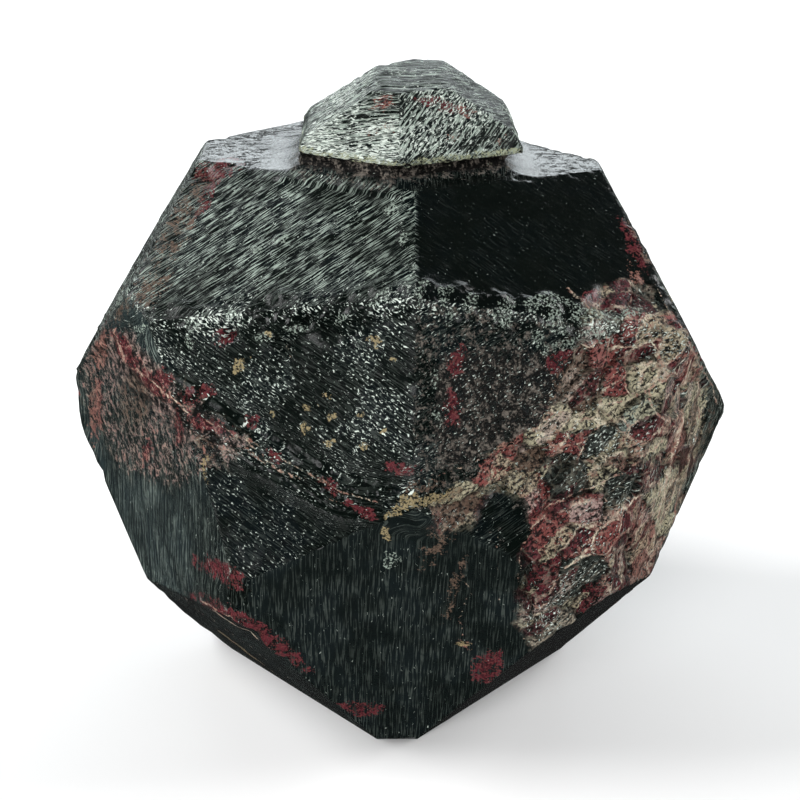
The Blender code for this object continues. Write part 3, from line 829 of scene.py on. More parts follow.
def build_main_crystal(sizes):
    """The main crystal with its relief."""
    directions, planes, runs = face_set(MAIN_FACES, MAIN_STRIPES_DEG, STRIPE_LENGTHS)
    floor = Vector((0, 0, -1))
    bm = solid_of_planes(planes + [(floor, CENTRE_HEIGHT)])
    lines = crease_lines(bm)
    directions.append(floor)
    runs.append(Vector((1, 0, 0)))
    looks = np.array([FACE_LOOKS.get(name, PLAIN_LOOK) for name in (*MAIN_FACES, "floor")])
    sheen_shares = np.array([PAINTED_SHEEN_SHARES.get(name, 0.0) for name in (*MAIN_FACES, "floor")])

    def step_at(points):
        places = front_view(points)
        back = fade(-4.0, 3.0, points @ np.array(Vector(TOWARDS_VIEW)))
        rough = smooth_step(-12.0, 0.0, inside_by(places, BROKEN_ZONE))
        rough = np.maximum(rough, fade(30.0, 45.0, abs(places[:, 1] - EQUATOR_HEIGHT)))
        rough = np.maximum(rough, fade(25.0, 40.0, abs(line_gap(places, FALL_LINE[:7]))))
        step = sizes.front_step * (1 - 0.25 * rough) * (1 - back) + sizes.back_step * back
        return np.where(points[:, 2] < -CENTRE_HEIGHT + 0.01, HIDDEN_STEP, step)

    def build(points, normals):
        face, places = nearest_faces(normals, directions), front_view(points)
        along, across = stripe_places(points, face, runs, directions)
        shares, look, neck = finish_shares(points, normals), looks[face], near_neck(points)
        zone, polish = shares["zone"], look[:, 3]
        wear_move, nearest = worn_creases(points, lines, sizes.worn_edge, 3.1, 0.9)
        height, sunk = main_relief(points, look, along, across, shares, sizes)
        pinned = np.maximum(smooth_step(0.0, 1.1, nearest), 0.6 * zone)
        sunk *= np.maximum(pinned, smooth_step(150.0, 200.0, places[:, 0]))
        move = normals * (height * pinned - sunk + NECK_FOOT_RISE * neck)[:, None] + wear_move
        flaked = places + 7.0 * noise_pair(points, 1.4, 2.0, 6.0)
        flakes = round_share(flaked, [(*flake, FLAKE_DEPTH) for flake in FLAKES], -0.3) * (points[:, 1] < 2.0)
        move -= normals * (flakes + 0.5 * edge_chips(points, nearest, 1.0, 0.15, 0.9))[:, None]
        under = points[:, 2] < -CENTRE_HEIGHT + 1e-3
        moved = points + np.where(under[:, None], 0.0, move)
        moved[:, 2] = np.where(under, -CENTRE_HEIGHT, np.maximum(moved[:, 2], -CENTRE_HEIGHT + 0.05))

        # The stripes of the ledge bend along the line where it ends
        gap = line_gap(places, FALL_LINE) / VIEW_SCALE
        ledge = smooth_step(-4.0, -1.0, gap) * fade(1.2, 3.0, gap) * fade(420, 470, places[:, 0])
        shares["bend"], shares["flow"] = ledge * seen_in_front(points, normals), gap
        low = shares.pop("low") * (1 - zone)
        inner = smooth_step(165.0, 228.0, places[:, 0]) * (sheen_shares[face] > 0.9)
        shares["flecks"] = look[:, 0] * (1 - 0.75 * zone) * (1 - 0.3 * low) + 0.12 * shares["band"]
        shares["flecks"] += 0.20 * zone * (1 - shares["crust"])
        # More flecks on dark splinters, and painted glints along the creases of unpolished faces
        shares["flecks"] += 0.10 * shares["stone"] + 0.06 * (1 - polish) * fade(0.1, 0.8, nearest)
        shares["flecks"] += 0.16 * inner
        shares["stripes"] = look[:, 1] * (1 - 0.4 * low)
        # Painted shade: the shelf at the neck's foot loses its polish and gets the dark skin, standing in for the
        # neck's shade and dark reflection
        shares["weathering_and_shade"] = np.maximum(np.maximum(shares["weathering_and_shade"], look[:, 2]) * (1 - 0.5 * low), 0.6 * neck)
        shares["polish"] = polish * (1 - neck)
        shares["rim"] = np.zeros(len(points))
        # Painted sheen: a bluish grey reflection of the pale surroundings, less in the left zone and on the inner part
        # of the far left face
        shares["painted_sheen"] = sheen_shares[face] * (1 - 0.8 * shares["left"]) * (1 - 0.75 * inner)
        return moved, shares

    refine(bm, step_at)
    return surface_object("main_crystal", bm, directions, runs, build)


def build_cap_crystal(sizes):
    """The cap crystal and its neck, whose foot is sunk in the shelf."""
    directions, planes, runs = face_set(CAP_FACES, CAP_STRIPES_DEG, {})
    bm = joined(solid_of_planes(planes + [(-SHELF_UP, -CAP_RIM)]), solid_of_planes(neck_planes()))
    bm.normal_update()
    lines = crease_lines(bm)
    walls = [normal for normal, _ in neck_planes()[2:]]
    directions += [-SHELF_UP] + walls
    runs += [Vector((1, 0, 0))] + [wall.cross(Vector((0, 0, 1))).normalized() for wall in walls]
    striped = np.array([CAP_STRIPE_SHARES.get(name, 1.0) for name in CAP_FACES] + [0.0] * (1 + len(walls)))

    def step_at(points):
        back = smooth_step(0.0, 5.0, points[:, 1])
        step = sizes.cap_step * (1 - back) + 2.2 * sizes.cap_step * back
        return np.where(points @ np.array(SHELF_UP) < SHELF_LEVEL - 0.6, HIDDEN_STEP, step)

    def build(points, normals):
        face, places = nearest_faces(normals, directions), front_view(points)
        along, across = stripe_places(points, face, runs, directions)
        wear_move, nearest = worn_creases(points, lines, 0.8 * sizes.worn_edge, 2.1, 0.7)
        on_cap = (face < len(CAP_FACES)).astype(float)
        grooves = groove_height(points, along, across, 0.62 * sizes.groove_span)
        steps = np.sin(across * 4.1 + 1.9 * noise_at(points, 2.4, 1.0))
        height = SWELL_DEPTH * noise_at(points, 3.4) + sizes.groove_depth * on_cap * (1.3 * grooves + 0.5 * steps)
        height += (0.03 + 0.05 * (1 - on_cap)) * rough_noise_at(points, 0.8)
        chips = edge_chips(points, nearest, 0.8, 0.1, 0.6)
        moved = points + normals * (height * smooth_step(0.0, 0.5, nearest) - 0.4 * chips)[:, None] + wear_move
        warp = 3.0 * noise_pair(points, 0.9)
        shares = {key: np.zeros(len(points)) for key in MAIN_ONLY_SHARES}
        shares["tone"] = np.full(len(points), 0.5)
        shares["vein"] = np.full(len(points), 3.0)
        shares["red"] = oval_share(places + warp, CAP_RED_SPOTS)
        shares["salmon"] = 0.42 * oval_share(places + warp, CAP_PINK_SPOTS)
        shares["flecks"] = 0.44 * striped[face] + 0.06
        shares["stripes"] = 1.5 * striped[face]
        shares["weathering_and_shade"] = 0.9 * (1 - on_cap)
        shares["rim"] = on_cap * fade(0.0, 0.75, points @ np.array(SHELF_UP) - CAP_RIM)
        return moved, shares

    refine(bm, step_at)
    return surface_object("cap_crystal", bm, directions, runs, build)


# Nodes

def add_node(tree, kind, inputs=None, **settings):
    """A node with its settings, and its sockets set or linked."""
    node = tree.nodes.new(kind)
    for name, value in settings.items():
        setattr(node, name, value)
    for key, value in (inputs or {}).items():
        if isinstance(value, bpy.types.NodeSocket):
            tree.links.new(value, node.inputs[key])
        else:
            node.inputs[key].default_value = value
    return node


def maths(tree, operation, *values):
    """The result of a sum on numbers or sockets."""
    return add_node(tree, "ShaderNodeMath", dict(enumerate(values)), operation=operation).outputs[0]


def vector_maths(tree, operation, inputs):
    """The result of a sum on vectors."""
    return add_node(tree, "ShaderNodeVectorMath", inputs, operation=operation).outputs[0]


def ramp(tree, value, low, high, to_low=0.0, to_high=1.0):
    """A smooth change from to_low to to_high while the value goes from low to high."""
    inputs = {"Value": value, "From Min": low, "From Max": high, "To Min": to_low, "To Max": to_high}
    return add_node(tree, "ShaderNodeMapRange", inputs, interpolation_type="SMOOTHSTEP").outputs["Result"]


def blend(tree, share, one, two):
    """A colour between two, each a socket or three numbers."""
    one, two = (item if isinstance(item, bpy.types.NodeSocket) else (*item, 1.0) for item in (one, two))
    return add_node(tree, "ShaderNodeMix", {0: share, 6: one, 7: two}, data_type="RGBA").outputs[2]


def mix_numbers(tree, share, one, two):
    """A number between two."""
    return add_node(tree, "ShaderNodeMix", {0: share, 2: one, 3: two}, data_type="FLOAT").outputs[0]


def cloud(tree, vector, scale, detail, roughness=0.5, **settings):
    """A noise texture."""
    inputs = {"Vector": vector, "Scale": scale, "Detail": detail, "Roughness": roughness}
    return add_node(tree, "ShaderNodeTexNoise", inputs, **settings)


def placed_group(tree, group, inputs):
    """The outputs of a node group in a material, with its values."""
    return add_node(tree, "ShaderNodeGroup", inputs, node_tree=bpy.data.node_groups[group]).outputs


def new_group(name, inputs, outputs):
    """A node group with named inputs and outputs, the sockets of its input node, and its output node."""
    group = bpy.data.node_groups.new(name, "ShaderNodeTree")
    for label, default in inputs.items():
        kind = "NodeSocketVector" if default is None else "NodeSocketFloat"
        socket = group.interface.new_socket(name=label, in_out="INPUT", socket_type=kind)
        if default is not None:
            socket.default_value = default
    for label in outputs:
        group.interface.new_socket(name=label, in_out="OUTPUT", socket_type="NodeSocketFloat")
    return group, group.nodes.new("NodeGroupInput").outputs, group.nodes.new("NodeGroupOutput")


def striped_cloud(group, given, size, roughness):
    """Noise on the stripe map in units of a size, drawn out along the stripes."""
    parts = add_node(group, "ShaderNodeSeparateXYZ", {0: given["Map"]})
    columns = maths(group, "DIVIDE", parts.outputs[0], maths(group, "MULTIPLY", size, given["Stretch"]))
    rows = maths(group, "DIVIDE", parts.outputs[1], size)
    grid = add_node(group, "ShaderNodeCombineXYZ", {0: columns, 1: rows}).outputs[0]
    return cloud(group, grid, 1.0, 2.0, roughness, noise_dimensions="2D").outputs[0]


def bent_place(group, given, bend):
    """The place moved by a share of the bend."""
    bent = vector_maths(group, "SCALE", {0: given["Bend"], "Scale": bend})
    return vector_maths(group, "ADD", {0: given["Place"], 1: bent})


def cell_borders(group, given, place):
    """The place in units of the size, and the thin borders between random cells there."""
    scaled = vector_maths(group, "SCALE", {0: place, "Scale": maths(group, "DIVIDE", 1.0, given["Size"])})
    inputs = {"Vector": scaled, "Scale": 1.0}
    gap = add_node(group, "ShaderNodeTexVoronoi", inputs, feature="DISTANCE_TO_EDGE").outputs[0]
    return scaled, ramp(group, maths(group, "DIVIDE", gap, given["Width"]), 0.4, 1.3, 1.0, 0.0)


def stripes_group():
    """Fine growth stripes on the stripe map: their height and their ridges, where the material paints a silvery
    highlight.
    """
    inputs = {"Map": None, "Spacing": 0.33, "Stretch": 7.0, "Sharpness": 0.5}
    group, given, end = new_group("Growth stripes", inputs, ("Height", "Ridges"))
    rows = striped_cloud(group, given, given["Spacing"], 0.5)
    top = maths(group, "SUBTRACT", 0.70, maths(group, "MULTIPLY", given["Sharpness"], 0.14))
    group.links.new(ramp(group, rows, 0.46, 0.66), end.inputs["Height"])
    group.links.new(ramp(group, rows, 0.51, top), end.inputs["Ridges"])


def flecks_group():
    """Small uneven flecks, pale grains and painted glints, drawn out along the stripes: where they are and how bright.
    """
    inputs = {"Map": None, "Size": 0.3, "Stretch": 2.2, "Density": 0.2}
    group, given, end = new_group("Stone flecks", inputs, ("Mask", "Tone"))
    level = striped_cloud(group, given, given["Size"], 0.6)
    from_level = maths(group, "SUBTRACT", 0.76, maths(group, "MULTIPLY", given["Density"], 0.5))
    over = maths(group, "SUBTRACT", level, from_level)
    group.links.new(ramp(group, over, 0.0, 0.06), end.inputs["Mask"])
    group.links.new(ramp(group, over, 0.02, 0.16), end.inputs["Tone"])


def ragged_group():
    """A share made a patch with a ragged, grainy edge."""
    inputs = {"Share": 0.0, "Grain": 0.5, "Raggedness": 0.8}
    group, given, end = new_group("Ragged patch", inputs, ("Mask",))
    away = maths(group, "MULTIPLY", maths(group, "SUBTRACT", given["Grain"], 0.5), given["Raggedness"])
    away = maths(group, "MULTIPLY", away, ramp(group, given["Share"], 0.0, 0.2))
    level = maths(group, "MULTIPLY_ADD", away, 2.5, given["Share"])
    group.links.new(ramp(group, level, 0.42, 0.60), end.inputs["Mask"])


def crackle_group():
    """A net of thin veins."""
    inputs = {"Place": None, "Bend": None, "Size": 3.0, "Width": 0.05}
    group, given, end = new_group("Crackle", inputs, ("Mask",))
    borders = cell_borders(group, given, bent_place(group, given, 0.8))[1]
    group.links.new(borders, end.inputs["Mask"])


def shards_group():
    """Long splinters that rise to the right: their thin borders, a tone for each and fine streaks along them."""
    inputs = {"Place": None, "Bend": None, "Size": 2.0, "Width": 0.05}
    group, given, end = new_group("Shards", inputs, ("Border", "Tone", "Streaks"))
    laid = add_node(
        group, "ShaderNodeMapping",
        {"Vector": bent_place(group, given, 0.7), "Rotation": (0.0, math.radians(-34), 0.0), "Scale": (2.3, 1.0, 1.0)},
        vector_type="TEXTURE",
    ).outputs[0]
    scaled, borders = cell_borders(group, given, laid)
    group.links.new(borders, end.inputs["Border"])
    cells = add_node(group, "ShaderNodeTexVoronoi", {"Vector": scaled, "Scale": 1.0}, feature="F1").outputs["Color"]
    group.links.new(add_node(group, "ShaderNodeSeparateColor", {0: cells}).outputs[0], end.inputs["Tone"])
    streaks = cloud(group, laid, 4.2, 2.0, 0.6).outputs[0]
    group.links.new(ramp(group, streaks, 0.38, 0.62), end.inputs["Streaks"])


def garnet_material(name, colours, sizes, finish):
    """Glossy dark garnet: stripes with a painted silvery highlight on their ridges, weathered skin that also paints
    shade at the neck's foot, wine-red windows, splinters, veins, flecks of pale grain and painted glint, crust with
    painted highlights, a painted sheen on some faces, and stains.

    The finish has the share of the usual stripe spacing and the depth of the stripes, the size and the stretch of the
    flecks, and the roughness and the specular level of the bare stone.
    """
    spacing, stripe_depth, fleck_size, fleck_stretch, bare_roughness, specular = finish
    material = bpy.data.materials.new(name)
    material.use_nodes = True
    tree = material.node_tree
    shader = tree.nodes["Principled BSDF"]
    shader.inputs["IOR"].default_value = GARNET_IOR
    shader.inputs["Specular IOR Level"].default_value = specular
    sums, rise, between, mixed = (partial(call, tree) for call in (maths, ramp, blend, mix_numbers))
    coordinates = add_node(tree, "ShaderNodeTexCoord")
    place = vector_maths(tree, "SCALE", {0: coordinates.outputs["Object"], "Scale": 1 / MM})
    stripe_map = add_node(tree, "ShaderNodeUVMap", uv_map="Stripes").outputs[0]
    medium_node = cloud(tree, place, 1.3, 3.0, 0.6)
    medium, unevenness = medium_node.outputs[0], medium_node.outputs["Color"]
    coarse, fine = cloud(tree, place, 0.22, 2.0, 0.6).outputs[0], cloud(tree, place, 5.0, 3.0, 0.65).outputs[0]
    ragged = mixed(0.5, medium, fine)

    def share(key):
        return add_node(tree, "ShaderNodeAttribute", attribute_name=key).outputs["Fac"]

    def times(*values):
        return reduce(partial(sums, "MULTIPLY"), values)

    def but(value):
        return sums("SUBTRACT", 1.0, value)

    def patch(value, raggedness):
        return placed_group(tree, "Ragged patch", {"Share": value, "Grain": ragged, "Raggedness": raggedness})["Mask"]

    def cover(mask, new_colour, new_roughness):
        nonlocal colour, roughness
        colour, roughness = between(mask, colour, new_colour), mixed(mask, roughness, new_roughness)

    striped, polish, zone, tone = share("stripes"), share("polish"), share("zone"), share("tone")

    # Bare stone: greenish black with bluish and grey clouds, a painted bluish grey sheen on some faces, and a painted
    # silvery highlight on the stripe ridges
    colour = between(rise(coarse, 0.42, 0.62), colours.stone_green, colours.stone_blue)
    colour = between(times(rise(medium, 0.48, 0.7), 0.5), colour, colours.stone_grey)
    # Painted sheen: a bluish grey reflection of the pale surroundings painted on some lower faces
    colour = between(times(share("painted_sheen"), rise(coarse, 0.36, 0.6, 0.6, 1.0)), colour, colours.painted_sheen)
    colour = between(times(polish, 0.9), colour, colours.stone_black)
    stripes = placed_group(
        tree, "Growth stripes",
        {"Map": stripe_map, "Spacing": sizes.stripe_spacing * spacing, "Stretch": 13.0, "Sharpness": 0.6},
    )
    clouded = times(rise(medium, 0.36, 0.60, 0.35, 1.0), rise(coarse, 0.34, 0.60, 0.45, 1.0))
    # Painted highlight: silvery colour on the stripe ridges stands in for light caught by the striated faces, less on
    # polished faces and on the level edge
    painted_ridge_sheen = times(stripes["Ridges"], striped, but(times(polish, 0.9)), clouded, but(times(share("band"), 0.8)))
    colour = between(painted_ridge_sheen, colour, colours.ridge_sheen)
    roughness = mixed(polish, bare_roughness, 0.15)

    # Weathered brown skin, which also paints shade on the shelf at the neck's foot
    skin = times(patch(share("weathering_and_shade"), 0.9), 0.85)
    pale = between(share("left"), colours.skin_pale, colours.blush)
    cover(skin, between(rise(ragged, 0.49, 0.62), colours.skin_dark, pale), 0.45)

    # Small dull pits in the polished faces
    cover(times(rise(ragged, 0.49, 0.56), rise(polish, 0.82, 0.9)), colours.stone_black, 0.85)

    # Wine-red windows, and the splinters of the broken zone
    shards = placed_group(tree, "Shards", {"Place": place, "Bend": unevenness, "Size": 1.7, "Width": 0.06})
    grit = sums("MULTIPLY_ADD", rise(fine, 0.42, 0.60), 0.55, times(shards["Streaks"], 0.55))
    red_tone = between(rise(medium, 0.40, 0.62), colours.wine_dark, colours.wine)
    red_tone = between(times(rise(fine, 0.50, 0.60), 0.4), red_tone, colours.window)
    cover(times(patch(times(share("red"), 0.75), 2.2), rise(fine, 0.34, 0.44, 0.25, 0.88)), red_tone, 0.2)
    for key, low, high, rough in (
        ("window", colours.wine_dark, colours.window, 0.32),
        ("salmon", colours.wine_dark, colours.salmon, 0.4),
        ("rust", colours.skin_dark, colours.rust, 0.4),
        ("cream", colours.skin_dark, colours.cream, 0.5),
        ("mint", colours.stone_blue, colours.mint, 0.5),
        ("stone", colours.stone_black, colours.stone_fleck, 0.35),
    ):
        depth = rise(mixed(0.65, mixed(times(zone, 0.65), tone, shards["Tone"]), grit), 0.14, 0.8)
        cover(times(patch(share(key), 1.1), 0.92), between(depth, low, high), rough)
    chalky = times(rise(shards["Tone"], 0.68, 0.72), rise(ragged, 0.40, 0.50), zone, 0.75)
    chalk = between(rise(shards["Tone"], 0.74, 0.90), colours.blush, colours.cream)
    cover(chalky, between(grit, colours.skin_dark, chalk), 0.5)
    burnt = times(rise(shards["Tone"], 0.20, 0.25, 1.0, 0.0), rise(ragged, 0.40, 0.50), zone, 0.8)
    cover(burnt, between(grit, colours.stone_black, colours.wine), 0.4)
    gaps = rise(mixed(0.5, fine, shards["Streaks"]), 0.30, 0.44, 1.0, 0.0)
    cover(times(gaps, zone, 0.85), colours.skin_dark, 0.6)

    # Pale veins: the drawn ones, the borders between splinters and a net
    net = placed_group(tree, "Crackle", {"Place": place, "Bend": unevenness, "Size": 1.9, "Width": 0.05})
    faint = sums("MAXIMUM", times(zone, 0.12), times(share("left"), 0.12))
    netted = times(net["Mask"], faint, rise(medium, 0.42, 0.58))
    hidden = times(sums("ADD", share("stone"), share("rust")), 0.8)
    splintered = times(shards["Border"], but(hidden), zone, rise(coarse, 0.40, 0.56), rise(fine, 0.36, 0.52))
    away = sums("MULTIPLY_ADD", sums("SUBTRACT", ragged, 0.5), 0.7, share("vein"))
    vein = rise(away, -0.06, 0.03, 1.0, 0.0)
    cover(times(share("border"), rise(ragged, 0.44, 0.52)), colours.skin_dark, 0.5)
    veins = sums("MAXIMUM", netted, sums("MAXIMUM", vein, times(splintered, 0.85)))
    cover(times(veins, 0.9), between(rise(medium, 0.35, 0.65), colours.salmon, colours.vein), 0.55)

    # Flecks: fine bright points and dashes, pale grains of the stone and painted glints of light
    density = times(share("flecks"), rise(coarse, 0.36, 0.6, 0.65, 1.15))
    wavy = vector_maths(tree, "MULTIPLY_ADD", {0: unevenness, 1: (0.7, 0.7, 0.0), 2: stripe_map})
    small = placed_group(
        tree, "Stone flecks", {"Map": wavy, "Size": fleck_size, "Stretch": fleck_stretch, "Density": density}
    )
    cover(times(small["Mask"], 0.9), between(small["Tone"], colours.moss, colours.grain_and_glint), 0.35)

    # Pale green crust in grains with a painted highlight on their tops, ochre stains and the pale rim
    crust = times(patch(share("crust"), 1.3), rise(fine, 0.50, 0.60))
    cover(crust, between(small["Tone"], colours.mint, colours.mint_highlight), 0.6)
    ochre = times(patch(share("ochre"), 1.0), rise(fine, 0.42, 0.55))
    cover(times(ochre, 0.9), between(tone, colours.rust, colours.ochre), 0.55)
    rim = times(patch(share("rim"), 1.6), rise(medium, 0.40, 0.56, 0.3, 1.0))
    cover(times(rim, rise(fine, 0.4, 0.55)), colours.rim, 0.5)

    # Relief too fine for the mesh
    coat = sums("MULTIPLY_ADD", polish, -0.2, 1.0)
    rough_ground = sums("MAXIMUM", skin, zone)
    height = times(stripes["Height"], striped, stripe_depth)
    height = sums("ADD", height, times(fine, sums("MULTIPLY_ADD", rough_ground, 0.07, 0.012)))
    height = sums("ADD", height, times(medium, coat, 0.06))
    height = sums("ADD", height, times(small["Mask"], 0.03))
    bump = add_node(tree, "ShaderNodeBump", {"Height": height, "Strength": 1.0, "Distance": MM})
    for socket, key in ((colour, "Base Color"), (roughness, "Roughness"), (bump.outputs[0], "Normal")):
        tree.links.new(socket, shader.inputs[key])
    return material


def floor_material(colour):
    """Plain pale matt floor with a faint unevenness."""
    material = bpy.data.materials.new("pale_floor")
    material.use_nodes = True
    tree = material.node_tree
    shader = tree.nodes["Principled BSDF"]
    coordinates = add_node(tree, "ShaderNodeTexCoord")
    unevenness = cloud(tree, coordinates.outputs["Object"], 3.0, 2.0).outputs[0]
    paler = [min(1.0, value * 1.02) for value in colour]
    tree.links.new(blend(tree, unevenness, colour, paler), shader.inputs["Base Color"])
    shader.inputs["Roughness"].default_value = 0.8
    shader.inputs["Specular IOR Level"].default_value = 0.2
    return material


# Settings

def colour_property(label, text, default):
    """A colour that a user may change."""
    return FloatVectorProperty(name=label, description=text, subtype="COLOR", size=3, min=0.0, max=1.0, default=default)


def size_property(label, text, default, low, high):
    """A size in millimetres that a user may change."""
    return FloatProperty(name=label, description=text, default=default, min=low, max=high, precision=3)


def power_property(label, where, default):
    """The power of a light that a user may change."""
    return FloatProperty(name=label, description=f"Power of the light {where}, in watts", default=default, min=0.0)


class GarnetColours(bpy.types.PropertyGroup):
    """Colours of the stone and of what grows on it."""

    stone_black: colour_property("Black stone", "Polished faces", (0.0022, 0.0032, 0.0028))
    stone_green: colour_property("Green stone", "Bare dark stone", (0.0018, 0.0038, 0.0029))
    stone_blue: colour_property("Blue stone", "Cool clouds in the dark stone", (0.0022, 0.0048, 0.0056))
    stone_grey: colour_property("Grey stone", "Pale clouds in the dark stone", tuple(0.1 * x for x in STONE_COLOUR))
    # Colour of the painted sheen that stands in for reflected surroundings
    painted_sheen: colour_property("Slate", "Bluish grey striped faces", (0.020, 0.030, 0.031))
    stone_fleck: colour_property("Stone grains", "Pale grains of dark splinters", (0.035, 0.042, 0.036))
    # Colour of the painted highlight on the stripe ridges
    ridge_sheen: colour_property("Ridges", "Tops of the growth stripes", (0.36, 0.43, 0.375))
    skin_dark: colour_property("Dark skin", "Hollows of the weathered skin", (0.0045, 0.0038, 0.0034))
    skin_pale: colour_property("Pale skin", "Grains of the weathered skin", (0.15, 0.13, 0.11))
    blush: colour_property("Blush", "Pale grains of the reddish skin", (0.42, 0.32, 0.29))
    wine_dark: colour_property("Dark wine red", "Depth of the red windows", (0.028, 0.004, 0.007))
    wine: colour_property("Wine red", "Face of the red windows", (0.095, 0.016, 0.023))
    window: colour_property("Brick red", "Broken red stone", (0.215, 0.064, 0.056))
    salmon: colour_property("Salmon", "Pink stone", (0.27, 0.13, 0.10))
    rust: colour_property("Rust", "Brown stone", (0.13, 0.085, 0.06))
    cream: colour_property("Cream", "Pale splinters", (0.42, 0.385, 0.26))
    vein: colour_property("Vein", "Pale veins", (0.78, 0.71, 0.54))
    moss: colour_property("Moss green", "Hollows of the flecks", (0.05, 0.075, 0.06))
    mint: colour_property("Mint", "Pale green crust", (0.25, 0.30, 0.255))
    ochre: colour_property("Ochre", "Yellow stains", (0.44, 0.37, 0.18))
    rim: colour_property("Rim", "Pale lower rim of the cap", (0.30, 0.32, 0.21))
    # Bright tone of the flecks: pale grains, partly painted glints
    grain_and_glint: colour_property("Flecks", "Bright flecks", (0.72, 0.79, 0.72))
    # Painted highlight on the tops of the crust grains
    mint_highlight: colour_property("Pale mint", "Tops of the crust grains", (0.66, 0.76, 0.68))


class GarnetSizes(bpy.types.PropertyGroup):
    """Sizes of the surface, in millimetres."""

    front_step: size_property("Front mesh", "Length of the mesh edges at the front", 0.52, 0.2, 3.0)
    back_step: size_property("Back mesh", "Length of the mesh edges at the back", 1.4, 0.3, 5.0)
    cap_step: size_property("Cap mesh", "Length of the mesh edges on the cap", 0.2, 0.1, 2.0)
    worn_edge: size_property("Worn edge", "Radius of the worn edges", 0.45, 0.0, 3.0)
    stripe_spacing: size_property("Stripe spacing", "Distance between growth stripes", 0.13, 0.1, 2.0)
    groove_span: size_property("Groove spacing", "Distance between the deeper grooves", 1.0, 0.3, 5.0)
    groove_depth: size_property("Groove depth", "Depth of the deeper grooves", 0.07, 0.0, 0.5)
    strand_depth: size_property("Strand depth", "Height of the strands on the ledge", 0.09, 0.0, 0.5)
    crust_height: size_property("Crust height", "Height of the crust lumps", 0.75, 0.0, 1.5)
    broken_depth: size_property("Broken depth", "Height between splinters of the broken zone", 0.9, 0.0, 2.0)


class GarnetStage(bpy.types.PropertyGroup):
    """Floor and light of the stage."""

    floor_colour: colour_property("Floor", "Colour of the floor", (0.9, 0.9, 0.9))
    floor_size: FloatProperty(name="Floor size", description="Side of the floor", default=6.0, min=1.0, unit="LENGTH")
    key_power: power_property("Upper light", "above on the left", 7.2)
    back_power: power_property("Back light", "behind", 6.2)
    side_power: power_property("Right light", "on the right", 6.0)
    fill_power: power_property("Front light", "in front", 3.2)
    world_light: FloatProperty(name="Room light", description="Strength of the even light", default=0.03, min=0.0)
    rows: IntProperty(name="Floor rows", description="Rows of faces in the floor", default=8, min=1)


# Operators

def finish_piece(scene, obj, material_name, finish):
    """Gives a piece its material, ties it to the body and hides the imported solid that it stands for."""
    count = len(obj.data.polygons)
    if count >= MOST_TRIANGLES:
        raise RuntimeError(f"{obj.name} has {count} triangles")
    obj.data.materials.append(garnet_material(material_name, scene.garnet_colours, scene.garnet_sizes, finish))
    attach(obj, "root")
    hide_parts("garnet_crystal")
    print(obj.name, count, "triangles")


class GARNET_OT_main_crystal(bpy.types.Operator):
    """Builds the main crystal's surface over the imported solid"""

    bl_idname = "garnet.main_crystal"
    bl_label = "Main crystal"

    def execute(self, context):
        obj = build_main_crystal(context.scene.garnet_sizes)
        finish_piece(context.scene, obj, "striped_garnet", MAIN_FINISH)
        return {"FINISHED"}


class GARNET_OT_cap_crystal(bpy.types.Operator):
    """Builds the cap crystal and its neck on the shelf"""

    bl_idname = "garnet.cap_crystal"
    bl_label = "Cap crystal"

    def execute(self, context):
        obj = build_cap_crystal(context.scene.garnet_sizes)
        finish_piece(context.scene, obj, "cap_garnet", CAP_FINISH)
        return {"FINISHED"}


class GARNET_OT_stage(bpy.types.Operator):
    """Builds the floor, the lights and the camera"""

    bl_idname = "garnet.stage"
    bl_label = "Stage"

    def execute(self, context):
        stage = context.scene.garnet_stage
        build_floor(stage)
        build_lights(context.scene, stage)
        build_camera(context.scene)
        return {"FINISHED"}


def build_floor(stage):
    """A large pale floor under the crystal."""
    bm = bmesh.new()
    bmesh.ops.create_grid(bm, x_segments=stage.rows, y_segments=stage.rows, size=stage.floor_size / 2)
    floor = new_object("floor", bm)
    floor.data.materials.append(floor_material(stage.floor_colour))
    floor.visible_glossy = False


def add_panel(scene, name, towards, distance, size, power, colour=(1.0, 1.0, 1.0)):
    """A light panel at a distance from the crystal, facing it."""
    light = bpy.data.lights.new(name, "AREA")
    light.shape = "RECTANGLE"
    light.size, light.size_y = size
    light.energy = power
    light.color = colour
    panel = bpy.data.objects.new(name, light)
    direction = Vector(towards).normalized()
    panel.location = Vector((0, 0, CENTRE_HEIGHT * MM)) + direction * distance
    panel.rotation_euler = direction.to_track_quat("Z", "Y").to_euler()
    scene.collection.objects.link(panel)


def build_lights(scene, stage):
    """A soft light on the left, a wide one behind and others on the right and in front."""
    add_panel(scene, "upper_light", (-0.80, 0.06, 0.60), 0.8, (0.42, 0.42), stage.key_power)
    add_panel(scene, "back_light", (0.0, 0.92, 0.40), 1.0, (1.1, 0.5), stage.back_power, (0.9, 0.97, 1.0))
    add_panel(scene, "right_light", (0.86, 0.2, 0.47), 0.8, (0.4, 0.4), stage.side_power)
    add_panel(scene, "front_light", (-0.2, -0.9, 0.38), 0.7, (0.3, 0.3), stage.fill_power)
    world = bpy.data.worlds.new("even_light")
    world.use_nodes = True
    background = world.node_tree.nodes["Background"]
    background.inputs["Color"].default_value = (1.0, 1.0, 1.0, 1.0)
    background.inputs["Strength"].default_value = stage.world_light
    scene.world = world
    scene.view_settings.view_transform = "Standard"


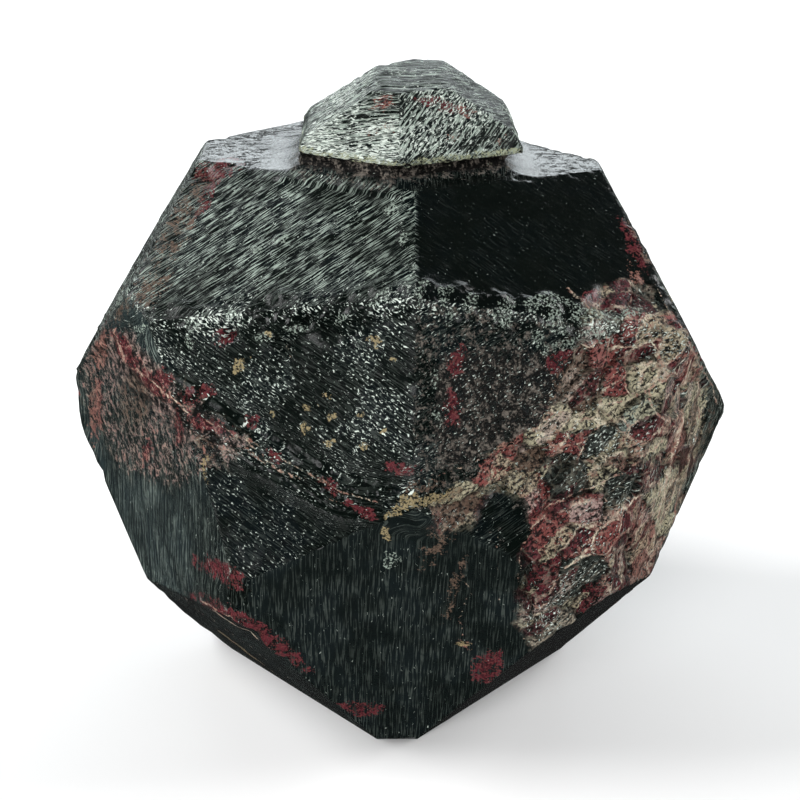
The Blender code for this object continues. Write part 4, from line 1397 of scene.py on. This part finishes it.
def build_camera(scene):
    """The camera of the front view."""
    camera_data = bpy.data.cameras.new("front_camera")
    camera_data.sensor_width = SENSOR_WIDTH
    camera_data.lens = VIEW_SCALE * VIEW_FROM * SENSOR_WIDTH / VIEW_FRAME
    camera_data.clip_start = NEAREST_SEEN
    across = (VIEW_FRAME / 2 - VIEW_MIDDLE[0]) / VIEW_SCALE
    down = (VIEW_FRAME / 2 - VIEW_MIDDLE[1]) / VIEW_SCALE
    place = Vector(TOWARDS_VIEW) * VIEW_FROM + Vector((across, 0, CENTRE_HEIGHT)) - Vector(UP_IN_VIEW) * down
    camera = bpy.data.objects.new("front_camera", camera_data)
    camera.location = place * MM
    camera.rotation_euler = (math.pi / 2 - VIEW_RISE, 0.0, 0.0)
    scene.collection.objects.link(camera)
    scene.camera = camera


class GARNET_PT_panel(bpy.types.Panel):
    """Lists the pieces of the crystal and the stage"""

    bl_idname = "GARNET_PT_panel"
    bl_label = "Garnet"
    bl_space_type = "VIEW_3D"
    bl_region_type = "UI"
    bl_category = "Garnet"

    def draw(self, context):
        scene, layout = context.scene, self.layout
        for operator in OPERATORS:
            layout.operator(operator.bl_idname)
        for label, settings in (
            ("Sizes in mm", scene.garnet_sizes), ("Colours", scene.garnet_colours), ("Stage", scene.garnet_stage)
        ):
            box = layout.box()
            box.label(text=label)
            for key in settings.__annotations__:
                box.prop(settings, key)


OPERATORS = (GARNET_OT_main_crystal, GARNET_OT_cap_crystal, GARNET_OT_stage)
CLASSES = (GarnetColours, GarnetSizes, GarnetStage) + OPERATORS + (GARNET_PT_panel,)


def register():
    for item in CLASSES:
        bpy.utils.register_class(item)
    bpy.types.Scene.garnet_colours = PointerProperty(type=GarnetColours)
    bpy.types.Scene.garnet_sizes = PointerProperty(type=GarnetSizes)
    bpy.types.Scene.garnet_stage = PointerProperty(type=GarnetStage)


def unregister():
    del bpy.types.Scene.garnet_stage
    del bpy.types.Scene.garnet_sizes
    del bpy.types.Scene.garnet_colours
    for item in reversed(CLASSES):
        bpy.utils.unregister_class(item)


def main():
    register()
    for make_group in (stripes_group, flecks_group, ragged_group, crackle_group, shards_group):
        make_group()
    bpy.ops.garnet.main_crystal()
    bpy.ops.garnet.cap_crystal()
    bpy.ops.garnet.stage()


if __name__ == "__main__":
    main()
